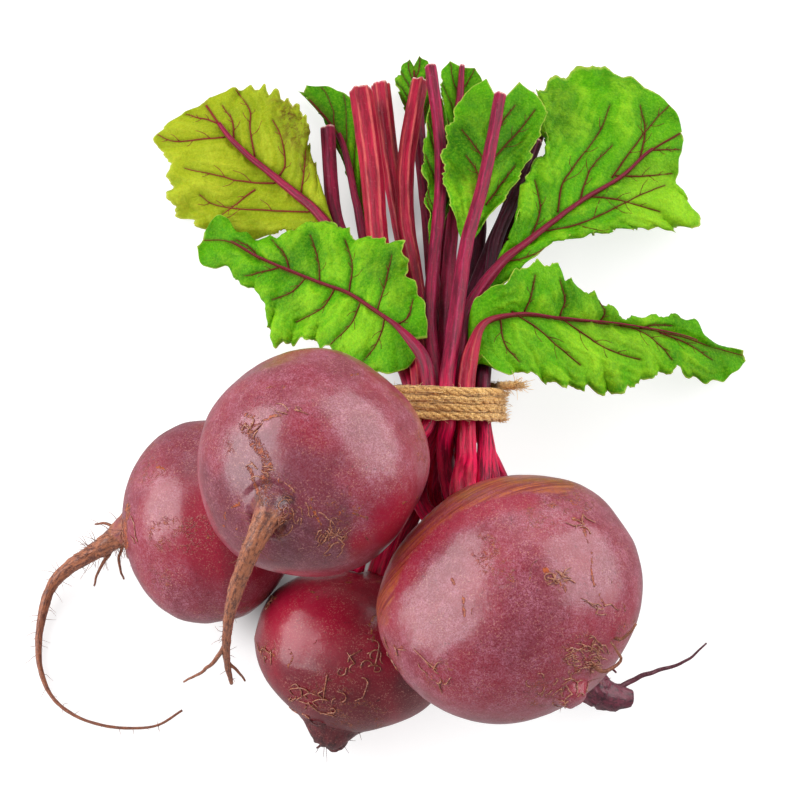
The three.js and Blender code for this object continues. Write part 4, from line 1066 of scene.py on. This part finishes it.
def add_strands(form, line, across, over, whole):
    """The strands that wind round each other."""
    arc = np.linspace(0, whole, len(line))
    for strand in range(STRANDS):
        phase = TURN * (arc / STRAND_PITCH + strand / STRANDS) + 0.4 * np.sin(arc / 9 + strand)
        centre = line + STRAND_OFFSET * (across * np.cos(phase)[:, None] + over * np.sin(phase)[:, None])
        thick = STRAND_RADIUS * (1.06 + 0.18 * noise(centre, 2.4, strand))
        tube(form, centre, thick, 9, TIE_ALONG, lambda turn, along: 1 + 0.07 * np.cos(4 * turn + 60 * along),
             strand=strand / 2, fuzz=0.0)


def add_laid_fibres(form, line, across, over, rng):
    """Fibres that lie along the twine."""
    count = len(line)
    for _ in range(LAID_FIBRES):
        first = int(rng.uniform(4, count - 30))
        picked = np.arange(first, min(count - 2, first + int(rng.uniform(12, 34))), 3)
        spin = rng.uniform(0, TURN) + rng.uniform(-0.12, 0.12) * np.arange(len(picked))
        away = TWINE_RADIUS * rng.uniform(0.95, 1.22) + 0.12 * rng.normal(size=len(picked))
        fibre = line[picked] + across[picked] * (away * np.cos(spin))[:, None]
        fibre += over[picked] * (away * np.sin(spin))[:, None]
        thread(form, fibre, rng.uniform(0.10, 0.19), 0.07, sides=4, step=1.2, strand=rng.uniform(), fuzz=0.35)


def add_loose_fibres(form, line, across, over, rng):
    """Fine fibres that stand off the twine on every side."""
    for _ in range(LOOSE_FIBRES):
        k = int(rng.uniform(8, len(line) - 8))
        way = unit(across[k] * rng.normal() + over[k] * rng.normal())
        along = unit(line[k + 1] - line[k - 1])
        start = line[k] + way * TWINE_RADIUS * 0.85
        reach = rng.uniform(0.7, 2.6)
        middle = start + (way * 0.5 + along * rng.choice([-1, 1]) * 0.6) * reach * 0.6
        tip = middle + (way * rng.uniform(-0.2, 0.9) + along * rng.normal() * 0.8) * reach * 0.7
        thread(form, [start, middle, tip], 0.07, 0.04, sides=3, step=0.6, strand=0.5, fuzz=1.0)


def add_side_fibres(form, line, rng):
    """Frayed fibres on the right of the tie, longer towards its top."""
    right = np.flatnonzero((line - TIE_CENTRE) @ ACROSS > 0.93 * TIE_RADIUS)
    for _ in range(SIDE_FIBRES):
        k = int(rng.choice(right))
        height = (line[k] - TIE_CENTRE) @ TIE_ALONG / TIE_HALF
        reach = rng.uniform(0.5, 1.9) + 1.3 * max(0, height)
        start = line[k] + ACROSS * 0.6 + TIE_ALONG * rng.uniform(-1, 1)
        tip = start + ACROSS * reach + rng.normal(size=3) * 0.5 * reach
        middle = (start + tip) / 2 + rng.normal(size=3) * 0.5
        thread(form, [start, middle, tip], 0.16, 0.07, sides=4, step=0.8, strand=rng.uniform(), fuzz=0.5)


def add_end_fibres(form, end, inner, rng):
    """The brush of fibres at a cut end."""
    away = unit(end - inner)
    for _ in range(END_FIBRES):
        side = rng.normal(size=3) * 0.36
        start = inner + rng.normal(size=3) * 0.35
        middle = end + side * 1.2
        tip = end + away * rng.uniform(0.6, 2.6) + side * rng.uniform(2, 5)
        thread(form, [start, middle, tip], 0.16, 0.06, sides=4, step=0.7, strand=rng.uniform(), fuzz=0.6)


def twine(material):
    """The whole tie, with all its fibres."""
    rng = np.random.default_rng(61)
    dense = twine_line()
    whole = length_of(dense)
    line = spaced(dense, np.linspace(0, 1, int(whole / 0.6)))
    line += 0.3 * shaken(line, 6.0, 21, 17)
    across, over = carried(line, TIE_ALONG)
    form = Form()
    add_strands(form, line, across, over, whole)
    add_laid_fibres(form, line, across, over, rng)
    add_loose_fibres(form, line, across, over, rng)
    add_side_fibres(form, line, rng)
    add_end_fibres(form, line[0], line[4], rng)
    add_end_fibres(form, line[-1], line[-5], rng)
    form.object("twine_strands", material, "twine", "twine")


# ---------------------------------------------------------------- materials
def linear(code):
    """A colour written as in a picture, as light."""
    parts = [int(code[i:i + 2], 16) / 255 for i in (0, 2, 4)]
    return [c / 12.92 if c <= 0.04045 else ((c + 0.055) / 1.055) ** 2.4 for c in parts] + [1.0]


class Look:
    """A material made of nodes. Its colour is built up by calls of tint."""

    def __init__(self, name):
        self.material = bpy.data.materials.new(name)
        self.material.use_nodes = True
        self.tree = self.material.node_tree
        self.shader = self.tree.nodes["Principled BSDF"]
        self.where = self.node("TexCoord").outputs["Object"]
        self.colour = None

    def node(self, kind, feeds=(), **values):
        """A node with its sockets fed by name or number."""
        made = self.tree.nodes.new("ShaderNode" + kind)
        for key, value in values.items():
            setattr(made, key, value)
        for socket, value in dict(feeds).items():
            self.feed(made.inputs[socket], value)
        return made

    def feed(self, socket, value):
        if isinstance(value, bpy.types.NodeSocket):
            self.tree.links.new(value, socket)
        else:
            socket.default_value = value

    def mark(self, name):
        return self.node("Attribute", attribute_name=name).outputs["Fac"]

    def calculate(self, operation, *values):
        padded = values + (0.0,) * (3 - len(values))
        return self.node("Math", enumerate(padded), operation=operation).outputs[0]

    def times(self, first, *others):
        for other in others:
            first = self.calculate("MULTIPLY", first, other)
        return first

    def plus(self, first, *others):
        for other in others:
            first = self.calculate("ADD", first, other)
        return first

    def most(self, a, b):
        return self.calculate("MAXIMUM", a, b)

    def noise(self, size, detail=4.0, rough=0.55, where=None, warp=0.0):
        """Noise with lumps of a size in millimetres."""
        feeds = {"Vector": where or self.where, "Scale": 1.0 / (size * MM), "Detail": detail,
                 "Roughness": rough, "Distortion": warp}
        return self.node("TexNoise", feeds).outputs["Fac"]

    def warped(self, amount, size):
        """Places shifted by noise, for crooked lines."""
        shift = self.node("TexNoise", {"Vector": self.where, "Scale": 1.0 / (size * MM)}).outputs["Color"]
        feeds = {0: shift, 1: [amount * MM] * 3, 2: self.where}
        return self.node("VectorMath", feeds, operation="MULTIPLY_ADD").outputs[0]

    def cells(self, size, where):
        """Distance from the borders of cells of a size in millimetres, as a share of it."""
        feeds = {"Vector": where, "Scale": 1.0 / (size * MM)}
        return self.node("TexVoronoi", feeds, feature="DISTANCE_TO_EDGE").outputs["Distance"]

    def ridges(self, size, where):
        """Distance from the crooked middle lines of noise."""
        return self.calculate("ABSOLUTE", self.calculate("SUBTRACT", self.noise(size, 3, 0.55, where), 0.5))

    def streaks(self, round_scale, along_scale):
        """Noise drawn out round or along a piece, from the places painted on its points."""
        along = self.times(self.mark("along"), along_scale)
        place = self.node("CombineXYZ", {0: self.mark("side_x"), 1: self.mark("side_y"), 2: along}).outputs[0]
        feeds = {"Vector": place, "Scale": round_scale, "Detail": 6.0, "Roughness": 0.68}
        return self.node("TexNoise", feeds).outputs["Fac"]

    def ramp(self, value, low, high, first=0.0, last=1.0):
        feeds = enumerate((value, low, high, first, last))
        return self.node("MapRange", feeds, interpolation_type="SMOOTHSTEP").outputs[0]

    def marked(self, name, low, high, first=0.0, last=1.0):
        return self.ramp(self.mark(name), low, high, first, last)

    def mix(self, share, a, b):
        a, b = (linear(colour) if isinstance(colour, str) else colour for colour in (a, b))
        return self.node("Mix", {0: share, 6: a, 7: b}, data_type="RGBA").outputs[2]

    def tint(self, share, colour):
        """Lays a colour over the colour so far."""
        self.colour = self.mix(share, self.colour, colour)

    def towards(self, share, colour):
        """The colour so far, part of the way to another one."""
        return self.mix(share, self.colour, colour)

    def bump(self, height, distance):
        return self.node("Bump", {"Height": height, "Distance": distance * MM, "Strength": 1.0}).outputs[0]

    def finish(self, roughness, normal=None, **plain):
        self.feed(self.shader.inputs["Base Color"], self.colour)
        self.feed(self.shader.inputs["Roughness"], roughness)
        if normal is not None:
            self.feed(self.shader.inputs["Normal"], normal)
        for key, value in plain.items():
            self.feed(self.shader.inputs[key.replace("_", " ")], value)
        return self.material


SKINS = {
    "mauve": dict(
        base="880c26", deep="600a20", bloom="b06a7e", dull="40222f", corky="b0501c", root="a4603e",
        bark_deep="4c201e", fleck="c88a6c", gloss=0.32, dusty=0.52, coat=0.46),
    # The front beet's deep dull colour is the painted shade on its lower side.
    "crimson": dict(
        base="8a0424", deep="4c0418", bloom="8a4050", dull="36060f", corky="a04e22", root="5a1c24",
        bark_deep="2c0a10", fleck="a05848", gloss=0.34, dusty=0.06, coat=0.34),
    # For the rear beet under the right beet: a darker copy of the skin, painted shade for the shadow it lies
    # in.
    "maroon": dict(
        base="5a1022", deep="380a16", bloom="7a3444", dull="40222f", corky="7a3a2a", root="6a1c34",
        bark_deep="32081a", fleck="8c4458", gloss=0.28, dusty=0.2, coat=0.4),
}
STALK_COLOURS = {
    "magenta": dict(dark="560422", light="98063a", rib="c03a6c"),
    "maroon": dict(dark="2c0818", light="560f2c", rib="7a2a4c"),
    "ribbed": dict(dark="780420", light="b01038", rib="e07c68"),
}
STALK_BASE_AND_LIGHT = "d8084a"
MIDRIB_COLOUR = "700628"
LEAF_COLOURS = {
    "upper": dict(deep="1c5400", fresh="4a9800", pale="9cd024", vein="640a1c", seen_under="86a838"),
    "underside": dict(deep="6a8208", fresh="92a014", pale="bcc434", vein="84082c", seen_under="4c7c10"),
}


def dusted(look, blotch, grain, amount, bloom):
    """Bloom in blotches and grains, thin where the skin blushes."""
    patches = look.ramp(look.noise(1.7, 3, 0.7), 0.36, 0.64, 0.6, 1.35)
    grains = look.ramp(grain, 0.38, 0.62, 0.15, 1.4)
    bare = look.marked("blush", 0.0, 0.9, 1.0, 0.05)
    look.tint(look.times(look.ramp(blotch, 0.32, 0.68, 0.35, 1.0), amount, grains, patches, bare), bloom)


def speckled(look, size, low, high, clusters, colour):
    """Fine specks that gather in clusters."""
    look.tint(look.times(look.ramp(look.noise(size, 3, 0.7), low, high), clusters), colour)


def healed(look, fine, corky):
    """Corky scabs and nets of fine threads. Gives their share."""
    crooked = look.warped(3.0, 2.2)
    curls = look.ramp(look.ridges(4.5, crooked), 0.0, 0.022, 1.0, 0.0)
    threads = look.ramp(look.ridges(2.2, crooked), 0.0, 0.03, 0.8, 0.0)
    broken = look.ramp(look.noise(3.2, 3), 0.42, 0.56)
    nets = look.times(look.most(curls, threads), broken, look.marked("net", 0.05, 0.5))
    flaky = look.times(look.noise(1.7, 5, 0.8, None, 1.5), 0.95)
    scabs = look.ramp(look.calculate("MULTIPLY_ADD", look.mark("cork"), 0.66, flaky), 0.80, 0.92)
    cork = look.most(nets, scabs)
    tan = look.mix(look.ramp(look.noise(1.4, 5, 0.75), 0.38, 0.66), corky, "5a1c16")
    tan = look.mix(look.times(look.ramp(fine, 0.54, 0.66), 0.5), tan, "d09a68")
    look.tint(look.times(cork, 0.95), tan)
    return cork


def ringed(look):
    """Broken brown rings round the crown."""
    lines = look.ramp(look.streaks(1.3, 0.45), 0.36, 0.58, 0.3, 1.0)
    broken = look.times(lines, look.ramp(look.noise(2.2, 5, 0.75), 0.36, 0.56, 0.35, 1.0))
    brown = look.mix(look.ramp(look.streaks(1.8, 0.8), 0.4, 0.6), "b25e2c", "761f1c")
    look.tint(look.times(look.marked("crown", 0.05, 0.75), broken), brown)


def barked(look, streaks, fine, root, bark_deep, fleck):
    """Streaked bark of the taproot and dried rootlets. Gives the bark's share."""
    bark = look.mix(look.ramp(streaks, 0.40, 0.62, 0.0, 0.9), root, bark_deep)
    bark = look.mix(look.times(look.ramp(fine, 0.5, 0.66), 0.4), bark, fleck)
    rooty = look.times(look.noise(2.4, 4, 0.7), 0.5)
    taproot = look.ramp(look.plus(look.mark("root"), rooty), 0.85, 1.12)
    look.tint(taproot, bark)
    look.tint(look.mark("curl"), look.mix(look.ramp(fine, 0.4, 0.6), "78382a", "b87a5c"))
    return taproot


def skin_look(name, base, deep, bloom, gloss, dusty, coat, dull, corky, root, bark_deep, fleck):
    """Beetroot skin: blotched, dusted with bloom, grainy, and corky where it has healed."""
    look = Look(name)
    blotch = look.noise(7, 5, 0.65)
    fine = look.noise(0.8, 4, 0.8)
    grain = look.noise(0.5, 3, 0.8)
    streaks = look.streaks(3.2, 0.11)
    look.colour = look.mix(look.ramp(look.noise(22, 3), 0.36, 0.66, 0.0, 0.6), base, deep)
    look.tint(look.times(look.mark("blush"), 0.95), "a00430")
    dusted(look, blotch, grain, dusty, bloom)
    # Dull marks: greyed, darker skin, and painted shade low on the front beet.
    look.tint(look.times(look.mark("dull"), 0.85), dull)
    speckled(look, 0.55, 0.53, 0.66, look.ramp(look.noise(9, 4, 0.6), 0.38, 0.62, 0.12, 0.5), "cc9080")
    speckled(look, 0.8, 0.56, 0.68, look.ramp(look.noise(6, 4, 0.6), 0.40, 0.64, 0.08, 0.6), "400e1c")
    cork = healed(look, fine, corky)
    ringed(look)
    taproot = barked(look, streaks, fine, root, bark_deep, fleck)
    rough_root = look.ramp(taproot, 0.0, 1.0, 0.0, 0.6 if gloss < 0.3 else 0.75)
    rough = look.most(look.ramp(cork, 0.0, 1.0, gloss, 0.85), rough_root)
    rough = look.plus(rough, look.times(look.calculate("SUBTRACT", blotch, 0.5), 0.16))
    dimples = look.times(look.noise(3.0, 5, 0.65), 0.55)
    grooves = look.times(streaks, taproot, 2.0)
    height = look.plus(look.times(grain, 0.3), look.times(cork, 1.0), dimples, grooves)
    film = look.plus(look.times(look.noise(7.0, 4, 0.6), 2.2), look.times(height, 0.55))
    look.feed(look.shader.inputs["Coat Normal"], look.bump(film, 0.13))
    return look.finish(rough, look.bump(height, 0.16), Specular_IOR_Level=0.5, Coat_Weight=coat,
                       Coat_Roughness=0.08)


def stalk_look(name, dark, light, rib):
    """A leaf stalk: streaked along its length, with paler ribs and a pale fibrous cut."""
    look = Look(name)
    lines = look.streaks(2.6, 0.035)
    look.colour = look.mix(look.ramp(lines, 0.34, 0.66), dark, light)
    look.tint(look.times(look.marked("ridge", 0.45, 1.0), look.ramp(lines, 0.3, 0.62), 0.42), rib)
    look.tint(look.ramp(look.streaks(9.0, 0.05), 0.30, 0.5, 0.5, 0.0), dark)
    # Brighter crimson near the root: the stalks' own colour, brightened further as painted light where the
    # beets shade them.
    near_root = look.marked("share", 0.2, 0.4, 0.95, 0.0)
    look.tint(look.times(near_root, look.ramp(lines, 0.38, 0.60, 0.15, 1.0)), STALK_BASE_AND_LIGHT)
    mottle = look.times(look.ramp(look.noise(1.2, 4, 0.7), 0.55, 0.75), 0.12)
    look.tint(mottle, look.towards(0.5, "ffd0d8"))
    flesh = look.mix(look.ramp(look.noise(0.9, 3), 0.4, 0.6), "e9c3b4", "c9606f")
    look.tint(look.marked("cut", 0.35, 0.9), flesh)
    look.tint(look.times(look.mark("in_leaf"), 0.85), MIDRIB_COLOUR)
    normal = look.bump(look.plus(lines, look.times(look.noise(0.8, 3), 0.3)), 0.22)
    return look.finish(look.ramp(lines, 0.3, 0.7, 0.28, 0.46), normal, Specular_IOR_Level=0.24,
                       Subsurface_Weight=0.08, Subsurface_Scale=0.002)


def leaf_look(name, deep, fresh, pale, vein, seen_under):
    """A leaf: mottled greens, painted shade by the veins, painted highlight on the swellings, a fine net."""
    look = Look(name)
    small = look.noise(3.0, 5, 0.65)
    grain = look.noise(0.9, 4, 0.75)
    look.colour = look.mix(look.ramp(look.noise(14, 3), 0.28, 0.62, 0.42, 1.0), deep, fresh)
    # Painted shade: deeper green in the furrows close to the veins.
    look.tint(look.marked("wide", 0.0, 0.4, 0.45, 0.0), deep)
    # Painted highlight: paler green on the swellings of the relief.
    painted_highlight = look.times(look.marked("high", 0.4, 0.95), look.ramp(small, 0.3, 0.6, 0.12, 0.55))
    look.tint(painted_highlight, pale)
    # Tone marks: partly the leaf's own lighter and deeper greens, partly painted shade where a blade lies in
    # shadow.
    look.tint(look.marked("tone", 0.0, 1.0, 0.0, 0.5), pale)
    look.tint(look.marked("tone", -1.0, 0.0, 0.55, 0.0), deep)
    look.tint(look.ramp(grain, 0.44, 0.64, 0.0, 0.32), look.towards(0.6, pale))
    look.tint(look.ramp(grain, 0.36, 0.5, 0.26, 0.0), look.towards(0.7, deep))
    crisp = look.mix(look.ramp(look.noise(2.0, 4, 0.7), 0.4, 0.6), "583a10", "707c10")
    look.tint(look.times(look.mark("brown"), look.ramp(small, 0.36, 0.56, 0.2, 1.0)), crisp)
    # Painted shade: darker green in the lowest hollows.
    look.tint(look.marked("high", 0.0, 0.34, 0.32, 0.0), look.mix(0.45, deep, "123000"))
    net = look.ramp(look.cells(3.0, look.warped(3.4, 3.0)), 0.0, 0.09, 0.12, 0.0)
    look.tint(net, look.towards(0.5, pale))
    small_net = look.ramp(look.cells(1.2, look.warped(0.9, 1.2)), 0.0, 0.14, 0.35, 0.0)
    look.tint(small_net, look.towards(0.5, deep))
    edge = look.plus(look.mark("margin"), look.times(look.noise(1.5, 3), 0.05))
    look.tint(look.ramp(edge, 0.985, 1.03, 0.0, 0.55), "c4cc5c")
    look.tint(look.times(look.marked("vein", 0.1, 0.9), 0.3), look.mix(0.5, deep, vein))
    look.tint(look.marked("cord", 0.0, 1.0, 0.0, 0.9), vein)
    look.tint(look.mark("under"), look.towards(0.45, seen_under))
    normal = look.bump(look.plus(look.times(small, 0.9), look.times(net, -1.2)), 0.6)
    return look.finish(look.ramp(small, 0.3, 0.7, 0.4, 0.6), normal, Specular_IOR_Level=0.08,
                       Subsurface_Weight=0.12, Subsurface_Scale=0.0012)


def twine_look():
    """Jute: pale and brown fibres in patches, the loose ones palest."""
    look = Look("jute_twine")
    fibre = look.noise(0.55, 5, 0.75)
    look.colour = look.mix(look.ramp(fibre, 0.36, 0.62), "9c6226", "fcd084")
    look.tint(look.times(look.ramp(look.noise(4.5, 3), 0.4, 0.7), 0.4), "cc9048")
    look.tint(look.times(look.mark("fuzz"), 0.6), "f0d5a6")
    return look.finish(0.85, look.bump(fibre, 0.35), Specular_IOR_Level=0.2, Sheen_Weight=0.25,
                       Sheen_Roughness=0.5)


# ---------------------------------------------------------------- floor and light
FLOOR_HALF = 6.0
FLOOR_GLOW = 0.72
# Painted shade on the floor inside the bunch, where little of the light round it reaches:
# centre x and y and radius in mm, and depth of the shade.
FLOOR_PAINTED_SHADE = [(-43, -58, 26, 0.85), (-8, -46, 34, 0.75), (14, 24, 34, 0.45), (10, 60, 30, 0.65),
                (0, 80, 26, 0.6), (20, 86, 22, 0.45)]
SKY = 0.34
LIGHT_AIM = Vector((0, 0, 0.06))
# Area lights, in metres: the way to each, its distance, width, height and power in watts.
LIGHTS = {
    "window_left": ((-0.86, 0.05, 0.50), 1.15, 1.5, 1.25, 21.0),
    "window_right": ((0.80, 0.28, 0.50), 1.2, 1.7, 1.25, 19.0),
    "window_back": ((0.0, 0.80, 0.62), 1.4, 1.0, 0.8, 3.0),
}


def floor_look():
    """A pale surface that gives off some light of its own, with painted shade inside the bunch that darkens
    it and dims its light.
    """
    look = Look("pale_surface")
    look.colour = look.mix(look.ramp(look.noise(180, 2), 0.3, 0.7), "a9a8a8", "adadad")
    shade = 0.0
    for x, y, radius, depth in FLOOR_PAINTED_SHADE:
        centre = [float(c) for c in (np.array([x, y, 0.0]) + SHIFT) * MM]
        away = look.node("VectorMath", {0: look.where, 1: centre}, operation="DISTANCE").outputs[1]
        shade = look.most(look.ramp(away, 0.1 * radius * MM, radius * MM, depth, 0.0), shade)
    # Painted shade: the floor's colour darkens and its glow dims under and between the beets and stalks.
    look.tint(look.times(shade, 1.1), "34181e")
    glow = look.times(look.calculate("SUBTRACT", 1.0, shade), FLOOR_GLOW)
    look.feed(look.shader.inputs["Emission Strength"], glow)
    return look.finish(0.7, Specular_IOR_Level=0.15, Emission_Color=linear("ffffff"))


def add_floor():
    corners = [(x * FLOOR_HALF, y * FLOOR_HALF, 0) for x, y in ((-1, -1), (1, -1), (1, 1), (-1, 1))]
    mesh = bpy.data.meshes.new("floor")
    mesh.from_pydata(corners, [], [(0, 1, 2, 3)])
    mesh.materials.append(floor_look())
    floor = put_in_scene("floor", mesh)
    floor.visible_glossy = False  # the skins would mirror it as a white band


def add_lights():
    scene = bpy.context.scene
    scene.world = bpy.data.worlds.new("studio")
    scene.world.use_nodes = True
    sky = scene.world.node_tree.nodes["Background"]
    sky.inputs["Color"].default_value = (1, 1, 1, 1)
    sky.inputs["Strength"].default_value = SKY
    scene.view_settings.view_transform = "Standard"
    for name, (way, distance, wide, high, power) in LIGHTS.items():
        data = bpy.data.lights.new(name, "AREA")
        data.shape = "RECTANGLE"
        data.size, data.size_y = wide, high
        data.energy = power
        lamp = put_in_scene(name, data)
        way = Vector(way).normalized()
        lamp.location = LIGHT_AIM + way * distance
        lamp.rotation_euler = way.to_track_quat("Z", "Y").to_euler()


# ---------------------------------------------------------------- the bunch
def kind_of_stalk(name):
    if STALKS[name].get("ribbed"):
        return "ribbed"
    return "maroon" if "dark" in name else "magenta"


def dress():
    """Every piece of the bunch, each with its look and its slot of the same name."""
    looks = {"skin_" + kind: skin_look("skin_" + kind, **parts) for kind, parts in SKINS.items()}
    looks |= {"stalk_" + kind: stalk_look("stalk_" + kind, **parts) for kind, parts in STALK_COLOURS.items()}
    looks |= {"leaf_" + kind: leaf_look("leaf_" + kind, **parts) for kind, parts in LEAF_COLOURS.items()}
    # The rear beet takes the maroon skin, darker as painted shade.
    special = {"beet_front": "skin_crimson", "beet_rear": "skin_maroon", "leaf_left_high": "leaf_underside"}
    for name, spec in BEETS.items():
        slot = special.get(name, "skin_mauve")
        beet(name, spec, looks[slot], slot)
    for name, spec in STALKS.items():
        slot = "stalk_" + kind_of_stalk(name)
        stalk(name, spec, looks[slot], slot)
    for name, spec in BLADES.items():
        slot = special.get(name, "leaf_upper")
        leaf(name, spec, looks[slot], slot)
    twine(twine_look())


add_camera()
add_lights()
add_floor()
dress()
bpy.context.view_layer.update()
